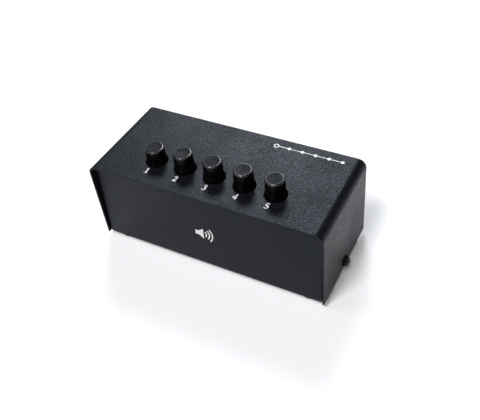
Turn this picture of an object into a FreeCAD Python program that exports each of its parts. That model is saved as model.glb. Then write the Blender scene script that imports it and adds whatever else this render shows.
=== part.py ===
"""Five-way push-button audio selector box: every piece as its own solid, in millimetres.

Frame: +X to the right, +Y to the back, +Z up. The origin is on the table, under the middle of the box.
The first button is modelled pushed in and latched, the other four are up.
"""

import os

import FreeCAD
import Part
from FreeCAD import Vector
from math import asin, cos, pi, radians, sin, sqrt, tan

# ---------------------------------------------------------------- driving sizes, in mm
# How far a cutting shape runs past the faces that it cuts
CUT_PAST = 1.0

# Cover: one folded sheet that makes the top and both side walls. Its width follows from the switch bank
COVER_DEPTH = 67.0
COVER_HEIGHT = 57.5
COVER_SHEET = 1.2
COVER_BEND_OUTSIDE = 5.5
# How far the cover's lower edge ends above the chassis floor's underside
COVER_LIFT = 0.6

# Chassis: front panel, floor and back panel in one folded sheet
CHASSIS_SHEET = 1.0
CHASSIS_BEND_INSIDE = 0.6
CHASSIS_SIDE_GAP = 1.2
CHASSIS_TOP_GAP = 0.1
FRONT_RECESS_AT_FLOOR = 1.2
FRONT_LEAN_DEG = 2.9
BACK_RECESS = 5.0
BACK_FLANGE = 6.5
FRONT_FLANGE_GAP = 1.1
TAB_FROM_EDGE = 11.5
TAB_HEIGHT = 12.5
TAB_RELIEF = 1.2

# Feet
FOOT_HEIGHT = 2.5
FOOT_RADIUS = 5.0
FOOT_TAPER = 0.1
FOOT_EDGE = 0.1
FOOT_FROM_SIDE = 12.0
FOOT_FROM_FRONT = 8.0
FOOT_FROM_BACK = 11.5

# M3 fasteners inside the box, with the cross recess as a share of the head
SCREW_SHANK_RADIUS = 1.5
SCREW_HEAD_RADIUS = 2.75
SCREW_HEAD_RIM = 0.5
SMALL_HEAD_HEIGHT = 1.8
RECESS_WIDTH_SHARE = 0.14
RECESS_SPAN_SHARE = 0.55
RECESS_DEPTH_SHARE = 0.65
THREAD_CLEARANCE = 0.03
SCREW_CLEARANCE = 0.2
NUT_ACROSS_FLATS = 5.5
NUT_HEIGHT = 2.4

# M3.5 pan-head screws through the side walls
SIDE_SHANK_RADIUS = 1.75
SIDE_HEAD_RADIUS = 3.5
SIDE_HEAD_HEIGHT = 3.0
SIDE_SCREW_LENGTH = 6.0
SIDE_SCREW_HEIGHT = 4.5
COLLAR_RADIUS = 2.75
COLLAR_DEPTH = 1.5

# Button row
BUTTON_COUNT = 5
BUTTON_PITCH = 20.0
BUTTON_ROW_FROM_FRONT = 21.0
BUTTON_TRAVEL = 2.5
LATCHED_DEPTH = 1.8
LATCHED_BUTTON = 1

# Button cap
CAP_RISE = 12.0
CAP_SINK = 3.0
CAP_SKIRT_RADIUS = 6.55
CAP_BAND = 1.5
CAP_FLARE_HEIGHT = 4.0
CAP_WAIST_RADIUS = 6.05
CAP_TOP_RADIUS = 5.75
CAP_RIM = 0.5
CAP_DISH = 0.35
CAP_DISH_SHAPE = 0.75
CAP_FLARE_HOLLOW = 0.06
CAP_ROOF = 2.5
CAP_WALL = 1.2
CAP_BOSS_WALL = 0.9
CAP_BOSS_LIFT = 2.0
CAP_HOLE_CLEARANCE = 0.35
CAP_ABOVE_FRAME = 5.0

# Plunger
STEM_WIDTH = 4.0
STEM_IN_CAP = 7.0
STEM_SOCKET_CLEARANCE = 0.05
STEM_END_CLEARANCE = 0.3
STEM_GUIDE_CLEARANCE = 0.2
SLIDER_WIDTH = 6.0
SLIDER_DEPTH = 8.0
SLIDER_HEIGHT = 7.0
SLIDER_STOP_GAP = 0.1
SLIDER_GUIDE_CLEARANCE = 0.15

# Latch
NOSE_REACH = 0.9
NOSE_LAND = 0.3
NOSE_SIDE_STEP = 0.5
LATCH_SHEET = 0.8
LATCH_RAIL = 1.5
LATCH_TRAVEL = 0.9
LATCH_SIDE_CLEARANCE = 0.1
LATCH_HOLD_GAP = 0.1
LATCH_SLIDE_GAP = 0.2
LATCH_WINDOW_CLEARANCE = 0.5
LATCH_TAB_HEIGHT = 5.0
LATCH_TAB_WIDTH = 5.0
LATCH_OVERHANG = 2.4
LATCH_TONGUE_STEP = 1.0
LATCH_TAB_FROM_BANK = 1.0

# Springs
ARCS_IN_A_TURN = 4
RETURN_SPRING_CLEARANCE = 0.22
RETURN_SPRING_WIRE = 0.5
RETURN_SPRING_TURNS = 6
SPRING_END_GAP = 0.1
LATCH_SPRING_RADIUS = 1.3
LATCH_SPRING_WIRE = 0.3
LATCH_SPRING_TURNS = 6
LATCH_SPRING_PIN_RADIUS = 0.9

# Switch housing
SWITCH_HEIGHT = 19.7
SWITCH_WIDTH = 10.0
SWITCH_DEPTH = 16.0
SWITCH_WALL = 1.8
SWITCH_ROOF = 1.0
SWITCH_BASE = 1.2
SWITCH_EDGE = 0.4

# Fixed contacts: two poles of three blades
BLADE_PITCH = 2.1
BLADE_WIDTH = 0.9
BLADE_THICKNESS = 0.4
BLADES_PER_POLE = 3
BLADE_TOP_GAP = 3.0
PIN_BELOW_BOARD = 2.0
PIN_HOLE_CLEARANCE = 0.12
BLADE_SEAT_GAP = 0.05
CLIP_THICKNESS = 0.25
CLIP_WIDTH = 5.2
CLIP_HEIGHT = 5.0
CLIP_FLAT = 0.9
CLIP_CREST = 0.33
CLIP_BLADE_GAP = 0.08

# Switch frame
FRAME_SHEET = 1.0
FRAME_SIDE_GAP = 0.1
FRAME_SKIRT = 9.0
FRAME_END_SPACE = 7.0
FRAME_FOOT_LENGTH = 8.0
FRAME_FOOT_WIDTH = 8.0
FRAME_BAR_SLOT_CLEARANCE = 0.25

# Circuit board and its pillars
BOARD_THICKNESS = 1.6
BOARD_BEYOND_FRAME = 5.0
BOARD_SIDE_GAP = 8.1
BOARD_FRONT_FROM_ROW = 12.0
BOARD_BACK_GAP = 1.0
BOARD_CORNER = 1.5
PILLAR_ACROSS_FLATS = 5.5
PILLAR_FROM_BOARD_END = 8.5
PILLAR_FRONT_FROM_ROW = 7.5
PILLAR_FROM_JACK = 6.4
PILLAR_SCREW_LENGTH = 6.0
FRAME_SCREW_LENGTH = 6.0

# 3.5 mm stereo jacks
JACK_BORE_RADIUS = 1.8
JACK_COLLAR_LENGTH = 8.0
JACK_NECK_RADIUS = 3.0
JACK_NECK_LENGTH = 5.0
JACK_NECK_CHAMFER = 0.3
JACK_WIDTH = 9.0
JACK_HEIGHT = 9.2
JACK_DEPTH = 12.0
JACK_AXIS_ABOVE_BOARD = 4.8
JACK_PANEL_GAP = 0.05
JACK_HOLE_CLEARANCE = 0.15
JACK_CHAMBER_WIDTH = 6.0
JACK_CHAMBER_HEIGHT = 5.6
JACK_BACK_WALL = 1.0
JACK_LEAF_PIN_FROM_BACK = 2.0
JACK_LEAF_LENGTH = 5.6
JACK_SLEEVE_PIN_FROM_FACE = 2.2
JACK_NUT_ACROSS_FLATS = 8.0
JACK_NUT_HEIGHT = 2.0
JACK_NUT_CHAMFER = 0.4
JACK_LEAF_THICKNESS = 0.3
JACK_LEAF_WIDTH = 2.0
JACK_LEAF_GAP = 0.25
JACK_SLEEVE_BELOW_BORE = 0.55
JACK_PIN_WIDTH = 0.8
JACK_COMMON_FROM_BOARD_END = 6.0

# ---------------------------------------------------------------- places worked out from them
BUTTON_XS = [(n - (BUTTON_COUNT - 1) / 2) * BUTTON_PITCH for n in range(BUTTON_COUNT)]
BANK_HALF_LENGTH = BUTTON_XS[-1] + SWITCH_WIDTH / 2
FRAME_HALF_LENGTH = BANK_HALF_LENGTH + FRAME_END_SPACE + FRAME_SHEET
BOARD_HALF_LENGTH = FRAME_HALF_LENGTH + FRAME_FOOT_LENGTH + BOARD_BEYOND_FRAME
CHASSIS_HALF_WIDTH = BOARD_HALF_LENGTH + BOARD_SIDE_GAP + CHASSIS_SHEET
HALF_WIDTH = CHASSIS_HALF_WIDTH + CHASSIS_SIDE_GAP + COVER_SHEET
HALF_DEPTH = COVER_DEPTH / 2
FLOOR_Z = FOOT_HEIGHT
COVER_LOW_Z = FLOOR_Z + COVER_LIFT
COVER_TOP_Z = COVER_LOW_Z + COVER_HEIGHT
COVER_UNDER_Z = COVER_TOP_Z - COVER_SHEET
CHASSIS_TOP_Z = COVER_UNDER_Z - CHASSIS_TOP_GAP
BACK_PANEL_Y = HALF_DEPTH - BACK_RECESS

ROW_Y = -HALF_DEPTH + BUTTON_ROW_FROM_FRONT
CAP_HOLE_RADIUS = CAP_SKIRT_RADIUS + CAP_HOLE_CLEARANCE
CAP_BOTTOM_Z = COVER_TOP_Z - CAP_SINK
CAP_TOP_Z = COVER_TOP_Z + CAP_RISE
CAP_BOSS_Z = CAP_BOTTOM_Z + CAP_BOSS_LIFT
STEM_TOP_Z = CAP_BOSS_Z + STEM_IN_CAP

FRAME_TOP_Z = CAP_BOTTOM_Z - BUTTON_TRAVEL - CAP_ABOVE_FRAME
FRAME_UNDER_Z = FRAME_TOP_Z - FRAME_SHEET
LATCH_TOP_Z = FRAME_UNDER_Z - LATCH_SLIDE_GAP
LATCH_UNDER_Z = LATCH_TOP_Z - LATCH_SHEET
SWITCH_TOP_Z = LATCH_UNDER_Z - LATCH_SLIDE_GAP
SLIDER_TOP_Z = SWITCH_TOP_Z - SWITCH_ROOF - SLIDER_STOP_GAP
NOSE_TOP_Z = LATCH_UNDER_Z - LATCH_HOLD_GAP + LATCHED_DEPTH

BOARD_TOP_Z = SWITCH_TOP_Z - SWITCH_HEIGHT
BOARD_UNDER_Z = BOARD_TOP_Z - BOARD_THICKNESS
SWITCH_BASE_TOP_Z = BOARD_TOP_Z + SWITCH_BASE
PILLAR_Z = FLOOR_Z + CHASSIS_SHEET
PILLAR_HEIGHT = BOARD_UNDER_Z - PILLAR_Z

FRAME_HALF_DEPTH = SWITCH_DEPTH / 2 + FRAME_SIDE_GAP + FRAME_SHEET
FRAME_FOOT_X = FRAME_HALF_LENGTH + FRAME_FOOT_LENGTH / 2

NOSE_WIDTH = STEM_WIDTH - 2 * NOSE_SIDE_STEP
LATCH_WINDOW_DEPTH = STEM_WIDTH + 2 * LATCH_WINDOW_CLEARANCE
LATCH_BAR_DEPTH = LATCH_WINDOW_DEPTH + 2 * LATCH_RAIL
LATCH_TAB_X = BANK_HALF_LENGTH + LATCH_TAB_FROM_BANK
LATCH_SPRING_Z = LATCH_UNDER_Z - LATCH_TAB_HEIGHT / 2
# The latch spring is as long as the room it has once the bar has come all its way towards it
LATCH_SPRING_ROOM = (FRAME_HALF_LENGTH - FRAME_SHEET) - (LATCH_TAB_X + LATCH_SHEET)
LATCH_SPRING_LENGTH = LATCH_SPRING_ROOM - LATCH_TRAVEL - 2 * SPRING_END_GAP

STEM_HALF_DIAGONAL = STEM_WIDTH / sqrt(2)
RETURN_SPRING_RADIUS = STEM_HALF_DIAGONAL + RETURN_SPRING_CLEARANCE + RETURN_SPRING_WIRE / 2
CAP_BOSS_RADIUS = STEM_HALF_DIAGONAL + STEM_SOCKET_CLEARANCE * sqrt(2) + CAP_BOSS_WALL

JACK_COMMON_X = BOARD_HALF_LENGTH - JACK_COMMON_FROM_BOARD_END
JACK_XS = BUTTON_XS + [JACK_COMMON_X]
JACK_Z = BOARD_TOP_Z + JACK_AXIS_ABOVE_BOARD
JACK_FACE_Y = BACK_PANEL_Y - CHASSIS_SHEET - JACK_PANEL_GAP
JACK_MOUTH_Y = JACK_FACE_Y + JACK_NECK_LENGTH
JACK_HOLE_RADIUS = JACK_NECK_RADIUS + JACK_HOLE_CLEARANCE
JACK_SLEEVE_TOP_Z = JACK_Z - JACK_BORE_RADIUS - JACK_SLEEVE_BELOW_BORE

BOARD_FRONT_Y = ROW_Y - BOARD_FRONT_FROM_ROW
BOARD_BACK_Y = BACK_PANEL_Y - CHASSIS_SHEET - BOARD_BACK_GAP
PILLAR_X = BOARD_HALF_LENGTH - PILLAR_FROM_BOARD_END
PILLAR_FRONT_Y = ROW_Y - PILLAR_FRONT_FROM_ROW
PILLAR_BACK_Y = JACK_FACE_Y - JACK_DEPTH - PILLAR_FROM_JACK

SIDE_SCREW_Z = FLOOR_Z + SIDE_SCREW_HEIGHT

UP = Vector(0, 0, 1)
ALONG_X = Vector(1, 0, 0)
ALONG_Y = Vector(0, 1, 0)
# An edge runs along an axis when its direction has at least this share along it
FLAT_ENOUGH = 0.999


# ---------------------------------------------------------------- shape helpers
def block(x0, x1, y0, y1, z0, z1):
    """A box between two corners."""
    return Part.makeBox(x1 - x0, y1 - y0, z1 - z0, Vector(x0, y0, z0))


def rod(radius, length, at, axis=UP):
    """A cylinder that starts at a point and runs along an axis."""
    return Part.makeCylinder(radius, length, at, axis)


def upright_edges(shape):
    """The edges of a plain block that run along Z."""
    return [e for e in shape.Edges if abs(e.tangentAt(e.FirstParameter).z) > FLAT_ENOUGH]


def face_of(points):
    """A flat face inside straight edges."""
    return Part.Face(Part.makePolygon(points + [points[0]]))


def hexagon(across_flats, height, at):
    """A hexagonal prism that stands on a point."""
    corner = across_flats / sqrt(3)
    ring = [at + Vector(corner * cos(k * pi / 3), corner * sin(k * pi / 3), 0) for k in range(6)]
    return face_of(ring).extrude(UP * height)


def turned(outline):
    """A solid of revolution about Z from (radius, z) points that start and end on the axis."""
    return face_of([Vector(r, 0, z) for r, z in outline]).revolve(Vector(), UP, 360)


def bent_outline(corners):
    """A closed wire through (point, radius) corners, with a tangent arc at each rounded one."""
    count, edges, ends = len(corners), [], []
    for n, (point, radius) in enumerate(corners):
        before = (corners[n - 1][0] - point).normalize()
        after = (corners[(n + 1) % count][0] - point).normalize()
        if not radius:
            ends.append((point, point, None))
            continue
        half_turn = before.getAngle(after) / 2
        reach = radius / tan(half_turn)
        middle = (before + after).normalize() * (radius / sin(half_turn) - radius)
        ends.append((point + before * reach, point + after * reach, point + middle))
    for n, (start, end, middle) in enumerate(ends):
        if middle:
            edges.append(Part.Arc(start, middle, end).toShape())
        edges.append(Part.makeLine(end, ends[(n + 1) % count][0]))
    return Part.Wire(edges)


def offset_path(points, distance):
    """Points of a path in the YZ plane moved sideways to its left by a distance, with mitred corners."""
    normals = []
    for a, b in zip(points, points[1:]):
        run = (b - a).normalize()
        normals.append(Vector(0, -run.z, run.y))
    moved = [points[0] + normals[0] * distance]
    for point, one, other in zip(points[1:-1], normals, normals[1:]):
        half = (one + other).normalize()
        moved.append(point + half * (distance / half.dot(one)))
    return moved + [points[-1] + normals[-1] * distance]


def coil(radius, wire, turns, length):
    """A compression spring of tangent arcs that starts at the origin and runs up Z, inside a given length."""
    steps = round(turns * ARCS_IN_A_TURN)
    rise = (length - wire) / steps
    turn = 2 * pi / ARCS_IN_A_TURN

    def point(step):
        return Vector(radius * cos(turn * step), radius * sin(turn * step), wire / 2 + rise * step)

    arcs = [Part.Arc(point(n), point(n + 0.5), point(n + 1)).toShape() for n in range(steps)]
    ring = Part.Wire(Part.makeCircle(wire / 2, point(0), Vector(0, radius * turn, rise)))
    return Part.Wire(arcs).makePipeShell([ring], True, False)


def pan_screw(length, height, shank=SCREW_SHANK_RADIUS, head=SCREW_HEAD_RADIUS):
    """A pan-head screw with a cross recess: its shank runs down from the origin, its head stands above."""
    rim = height * SCREW_HEAD_RIM
    crown_centre = (height ** 2 - rim ** 2 - head ** 2) / (2 * (height - rim))
    crown = height - crown_centre
    half_angle = asin(head / crown) / 2
    middle = Vector(crown * sin(half_angle), 0, crown_centre + crown * cos(half_angle))
    top = Vector(0, 0, height)
    side = [Vector(0, 0, -length), Vector(shank, 0, -length), Vector(shank, 0, 0), Vector(head, 0, 0),
            Vector(head, 0, rim)]
    edges = [Part.makeLine(a, b) for a, b in zip(side, side[1:])]
    edges += [Part.Arc(side[-1], middle, top).toShape(), Part.makeLine(top, side[0])]
    screw = Part.Face(Part.Wire(edges)).revolve(Vector(), UP, 360)
    half_span, half_width = head * RECESS_SPAN_SHARE, head * RECESS_WIDTH_SHARE
    for turn in (0, 90):
        blade = block(-half_span, half_span, -half_width, half_width,
                      height * (1 - RECESS_DEPTH_SHARE), height + CUT_PAST)
        blade.rotate(Vector(), UP, turn)
        screw = screw.cut(blade)
    return screw


def placed(shape, at, axis=UP):
    """A copy of a shape whose own Z is turned to an axis and moved to a point."""
    copy = shape.copy()
    copy.Placement = FreeCAD.Placement(at, FreeCAD.Rotation(UP, axis)).multiply(copy.Placement)
    return copy


def write(name, solids):
    """Write one node: a single solid, or several alike as a group."""
    shape = solids if not isinstance(solids, list) else Part.makeCompound(solids)
    if not shape.isValid():
        raise ValueError(name + " is not a valid shape")
    shape.exportStep("parts/" + name + ".step")


# ---------------------------------------------------------------- cover and chassis
def rounded_prism(half_width, low, top, bend):
    """A block as deep as the cover whose two long top edges are rounded."""
    body = block(-half_width, half_width, -HALF_DEPTH, HALF_DEPTH, low, top)
    long_edges = [e for e in body.Edges
                  if abs(e.tangentAt(e.FirstParameter).y) > FLAT_ENOUGH
                  and e.CenterOfMass.z > (low + top) / 2]
    return body.makeFillet(bend, long_edges)


def top_cover():
    """The folded cover, open at the front, back and bottom."""
    cover = rounded_prism(HALF_WIDTH, COVER_LOW_Z, COVER_TOP_Z, COVER_BEND_OUTSIDE)
    inside = rounded_prism(HALF_WIDTH - COVER_SHEET, COVER_LOW_Z, COVER_UNDER_Z, COVER_BEND_OUTSIDE - COVER_SHEET)
    cover = cover.cut(inside)
    for x in BUTTON_XS:
        start = Vector(x, ROW_Y, COVER_UNDER_Z - CUT_PAST)
        cover = cover.cut(rod(CAP_HOLE_RADIUS, COVER_SHEET + 2 * CUT_PAST, start))
    screw_line = rod(SIDE_SHANK_RADIUS + SCREW_CLEARANCE, 2 * HALF_WIDTH,
                     Vector(-HALF_WIDTH, 0, SIDE_SCREW_Z), ALONG_X)
    return cover.cut(screw_line)


def front_panel_y(z):
    """Where the leaning front panel's outer face is at a height."""
    return -HALF_DEPTH + FRONT_RECESS_AT_FLOOR + (z - FLOOR_Z) * tan(radians(FRONT_LEAN_DEG))


def chassis_strip():
    """Front flange, leaning front panel, floor, back panel and back flange as one bent strip."""
    flange_end_y = ROW_Y - CAP_HOLE_RADIUS - FRONT_FLANGE_GAP
    outside = [
        Vector(0, flange_end_y, CHASSIS_TOP_Z),
        Vector(0, front_panel_y(CHASSIS_TOP_Z), CHASSIS_TOP_Z),
        Vector(0, front_panel_y(FLOOR_Z), FLOOR_Z),
        Vector(0, BACK_PANEL_Y, FLOOR_Z),
        Vector(0, BACK_PANEL_Y, CHASSIS_TOP_Z),
        Vector(0, BACK_PANEL_Y - BACK_FLANGE, CHASSIS_TOP_Z),
    ]
    inside = offset_path(outside, CHASSIS_SHEET)
    outer_bend = CHASSIS_BEND_INSIDE + CHASSIS_SHEET
    last = len(outside) - 1
    corners = [(p, outer_bend if 0 < n < last else 0) for n, p in enumerate(outside)]
    corners += [(p, CHASSIS_BEND_INSIDE if 0 < n < last else 0) for n, p in reversed(list(enumerate(inside)))]
    strip = Part.Face(bent_outline(corners)).extrude(ALONG_X * (2 * CHASSIS_HALF_WIDTH))
    strip.translate(ALONG_X * -CHASSIS_HALF_WIDTH)
    room = rounded_prism(CHASSIS_HALF_WIDTH, FLOOR_Z, CHASSIS_TOP_Z, COVER_BEND_OUTSIDE - COVER_SHEET)
    return strip.common(room)


def side_tab(side):
    """A tab bent up from the floor's end, with a collar for the side screw, and the room cut for it."""
    half = HALF_DEPTH - TAB_FROM_EDGE
    bend = CHASSIS_BEND_INSIDE + CHASSIS_SHEET
    end, inner = CHASSIS_HALF_WIDTH, CHASSIS_HALF_WIDTH - CHASSIS_SHEET
    root = end - 2 * bend
    low, top = FLOOR_Z + CHASSIS_SHEET, FLOOR_Z + TAB_HEIGHT
    profile = [(Vector(root, -half, FLOOR_Z), 0), (Vector(end, -half, FLOOR_Z), bend),
               (Vector(end, -half, top), 0), (Vector(inner, -half, top), 0),
               (Vector(inner, -half, low), CHASSIS_BEND_INSIDE), (Vector(root, -half, low), 0)]
    tab = Part.Face(bent_outline(profile)).extrude(ALONG_Y * (2 * half))
    collar_end = Vector(inner - COLLAR_DEPTH, 0, SIDE_SCREW_Z)
    tab = tab.fuse(rod(COLLAR_RADIUS, COLLAR_DEPTH, collar_end, ALONG_X))
    room_half = half + TAB_RELIEF
    room = block(root, end + CUT_PAST, -room_half, room_half, FLOOR_Z - CUT_PAST, low + CUT_PAST)
    if side < 0:
        tab.rotate(Vector(), UP, 180)
        tab = tab.mirror(Vector(), ALONG_Y)
        room = room.mirror(Vector(), ALONG_X)
    return tab, room


def base_chassis():
    """The folded chassis with its side tabs and every hole."""
    chassis = chassis_strip()
    for side in (-1, 1):
        tab, room = side_tab(side)
        chassis = chassis.cut(room).fuse(tab)
    thread = rod(SIDE_SHANK_RADIUS + THREAD_CLEARANCE, 2 * HALF_WIDTH,
                 Vector(-HALF_WIDTH, 0, SIDE_SCREW_Z), ALONG_X)
    chassis = chassis.cut(thread)
    for x, y in pillar_places():
        chassis = chassis.cut(rod(SCREW_SHANK_RADIUS + SCREW_CLEARANCE, CHASSIS_SHEET + 2 * CUT_PAST,
                                  Vector(x, y, FLOOR_Z - CUT_PAST)))
    for x in JACK_XS:
        chassis = chassis.cut(rod(JACK_HOLE_RADIUS, CHASSIS_SHEET + 2 * CUT_PAST,
                                  Vector(x, BACK_PANEL_Y - CHASSIS_SHEET - CUT_PAST, JACK_Z), ALONG_Y))
    return chassis.removeSplitter()


def cover_screws():
    """One screw through each side wall into the chassis tab."""
    screw = pan_screw(SIDE_SCREW_LENGTH, SIDE_HEAD_HEIGHT, SIDE_SHANK_RADIUS, SIDE_HEAD_RADIUS)
    return [placed(screw, Vector(side * HALF_WIDTH, 0, SIDE_SCREW_Z), ALONG_X * side)
            for side in (-1, 1)]


def rubber_feet():
    """Four stick-on feet under the floor."""
    tread = FOOT_RADIUS - FOOT_TAPER
    foot = turned([(0, 0), (tread - FOOT_EDGE, 0), (tread, FOOT_EDGE), (FOOT_RADIUS, FOOT_HEIGHT),
                   (0, FOOT_HEIGHT)])
    x = HALF_WIDTH - FOOT_FROM_SIDE
    return [placed(foot, Vector(side * x, y, 0))
            for side in (-1, 1) for y in (-HALF_DEPTH + FOOT_FROM_FRONT, HALF_DEPTH - FOOT_FROM_BACK)]


# ---------------------------------------------------------------- board and pillars
def pillar_places():
    """The four (x, y) places of the pillars."""
    return [(side * PILLAR_X, y) for side in (-1, 1) for y in (PILLAR_FRONT_Y, PILLAR_BACK_Y)]


def board_standoffs():
    """Hexagon pillars, tapped from both ends, between the floor and the board."""
    pillar = hexagon(PILLAR_ACROSS_FLATS, PILLAR_HEIGHT, Vector())
    pillar = pillar.cut(rod(SCREW_SHANK_RADIUS + THREAD_CLEARANCE, PILLAR_HEIGHT, Vector()))
    return [placed(pillar, Vector(x, y, PILLAR_Z)) for x, y in pillar_places()]


def board_screws():
    """Screws down through the board into the pillars."""
    screw = pan_screw(PILLAR_SCREW_LENGTH, SMALL_HEAD_HEIGHT)
    return [placed(screw, Vector(x, y, BOARD_TOP_Z)) for x, y in pillar_places()]


def floor_screws():
    """Screws up through the floor into the pillars."""
    screw = pan_screw(PILLAR_SCREW_LENGTH, SMALL_HEAD_HEIGHT)
    return [placed(screw, Vector(x, y, FLOOR_Z), UP * -1) for x, y in pillar_places()]


def blade_places():
    """(x, y) of each fixed contact within a switch, counted from its middle."""
    wall = SWITCH_DEPTH / 2 - SWITCH_WALL
    y = wall - BLADE_SEAT_GAP - BLADE_THICKNESS / 2
    middle = (BLADES_PER_POLE - 1) / 2
    return [((n - middle) * BLADE_PITCH, side * y) for side in (-1, 1) for n in range(BLADES_PER_POLE)]


def jack_pin_places():
    """(x, y) of each solder pin of a jack, counted from its axis and its front face."""
    leaf_x = JACK_BORE_RADIUS + JACK_LEAF_GAP + JACK_LEAF_THICKNESS / 2
    leaf_y = JACK_LEAF_PIN_FROM_BACK - JACK_DEPTH
    return [(-leaf_x, leaf_y), (leaf_x, leaf_y), (0, -JACK_SLEEVE_PIN_FROM_FACE)]


def main_board():
    """The circuit board with a hole for every screw and every solder pin."""
    board = block(-BOARD_HALF_LENGTH, BOARD_HALF_LENGTH, BOARD_FRONT_Y, BOARD_BACK_Y,
                  BOARD_UNDER_Z, BOARD_TOP_Z)
    board = board.makeFillet(BOARD_CORNER, upright_edges(board))
    holes = [(x, y, SCREW_SHANK_RADIUS + SCREW_CLEARANCE) for x, y in pillar_places()]
    holes += [(side * FRAME_FOOT_X, ROW_Y, SCREW_SHANK_RADIUS + SCREW_CLEARANCE) for side in (-1, 1)]
    blade_hole = sqrt(BLADE_WIDTH ** 2 + BLADE_THICKNESS ** 2) / 2 + PIN_HOLE_CLEARANCE
    holes += [(x + dx, ROW_Y + dy, blade_hole) for x in BUTTON_XS for dx, dy in blade_places()]
    jack_hole = sqrt(JACK_PIN_WIDTH ** 2 + JACK_LEAF_THICKNESS ** 2) / 2 + PIN_HOLE_CLEARANCE
    holes += [(x + dx, JACK_FACE_Y + dy, jack_hole) for x in JACK_XS for dx, dy in jack_pin_places()]
    drill_z = BOARD_UNDER_Z - CUT_PAST
    drills = [rod(r, BOARD_THICKNESS + 2 * CUT_PAST, Vector(x, y, drill_z)) for x, y, r in holes]
    return board.cut(Part.makeCompound(drills))


# ---------------------------------------------------------------- switch bank
def switch_body():
    """A switch housing about x = 0: open below, with a slot in its roof for the stem and the latch nose."""
    half_x, half_y = SWITCH_WIDTH / 2, SWITCH_DEPTH / 2
    body = block(-half_x, half_x, ROW_Y - half_y, ROW_Y + half_y, SWITCH_BASE_TOP_Z, SWITCH_TOP_Z)
    body = body.makeFillet(SWITCH_EDGE, upright_edges(body))
    cavity_x = SLIDER_WIDTH / 2 + SLIDER_GUIDE_CLEARANCE
    cavity_y = half_y - SWITCH_WALL
    body = body.cut(block(-cavity_x, cavity_x, ROW_Y - cavity_y, ROW_Y + cavity_y,
                          SWITCH_BASE_TOP_Z, SWITCH_TOP_Z - SWITCH_ROOF))
    return body.cut(stem_window(SWITCH_TOP_Z - SWITCH_ROOF, SWITCH_TOP_Z))


def stem_window(under, top):
    """What to cut from a sheet or a roof to let a stem and its nose pass, about x = 0."""
    half = STEM_WIDTH / 2 + STEM_GUIDE_CLEARANCE
    return block(-half, half + NOSE_REACH, ROW_Y - half, ROW_Y + half, under - CUT_PAST, top + CUT_PAST)


def switch_base():
    """The terminal plate that closes a housing below, about x = 0, with a slot for each blade."""
    half_x, half_y = SWITCH_WIDTH / 2, SWITCH_DEPTH / 2
    base = block(-half_x, half_x, ROW_Y - half_y, ROW_Y + half_y, BOARD_TOP_Z, SWITCH_BASE_TOP_Z)
    for dx, dy in blade_places():
        half_w, half_t = BLADE_WIDTH / 2 + BLADE_SEAT_GAP, BLADE_THICKNESS / 2 + BLADE_SEAT_GAP
        base = base.cut(block(dx - half_w, dx + half_w, ROW_Y + dy - half_t, ROW_Y + dy + half_t,
                              BOARD_TOP_Z - CUT_PAST, SWITCH_BASE_TOP_Z + CUT_PAST))
    return base


def switch_blades():
    """The six fixed contacts of one switch, about x = 0, each from its blade down to its solder pin."""
    top = SLIDER_TOP_Z - BLADE_TOP_GAP
    half_w, half_t = BLADE_WIDTH / 2, BLADE_THICKNESS / 2
    return [block(dx - half_w, dx + half_w, ROW_Y + dy - half_t, ROW_Y + dy + half_t,
                  BOARD_UNDER_Z - PIN_BELOW_BOARD, top) for dx, dy in blade_places()]


def plunger():
    """A plunger in its upper place, about x = 0: slider, square stem and latch nose in one moulding."""
    half = STEM_WIDTH / 2
    slider = block(-SLIDER_WIDTH / 2, SLIDER_WIDTH / 2, ROW_Y - SLIDER_DEPTH / 2, ROW_Y + SLIDER_DEPTH / 2,
                   SLIDER_TOP_Z - SLIDER_HEIGHT, SLIDER_TOP_Z)
    stem = block(-half, half, ROW_Y - half, ROW_Y + half, SLIDER_TOP_Z, STEM_TOP_Z)
    land = NOSE_TOP_Z - NOSE_LAND
    nose = face_of([Vector(half + x, ROW_Y - NOSE_WIDTH / 2, z)
                    for x, z in ((0, NOSE_TOP_Z), (NOSE_REACH, NOSE_TOP_Z), (NOSE_REACH, land),
                                 (0, land - NOSE_REACH))])
    nose = nose.extrude(ALONG_Y * NOSE_WIDTH)
    return slider.fuse([stem, nose]).removeSplitter()


def contact_clips():
    """The two sliding contact springs of one slider in its upper place, about x = 0."""
    seat = SLIDER_DEPTH / 2
    reach = SWITCH_DEPTH / 2 - SWITCH_WALL - BLADE_SEAT_GAP - BLADE_THICKNESS - CLIP_BLADE_GAP
    middle = SLIDER_TOP_Z - SLIDER_HEIGHT / 2
    low, high = middle - CLIP_HEIGHT / 2, middle + CLIP_HEIGHT / 2
    back = seat + CLIP_THICKNESS
    outline = [(seat, low), (back, low), (back, low + CLIP_FLAT), (reach, middle), (back, high - CLIP_FLAT),
               (back, high), (seat, high), (seat, high - CLIP_FLAT), (reach - CLIP_CREST, middle),
               (seat, low + CLIP_FLAT)]
    clips = []
    for side in (-1, 1):
        points = [Vector(-CLIP_WIDTH / 2, ROW_Y + side * y, z) for y, z in outline]
        clips.append(face_of(points).extrude(ALONG_X * CLIP_WIDTH))
    return clips


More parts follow.
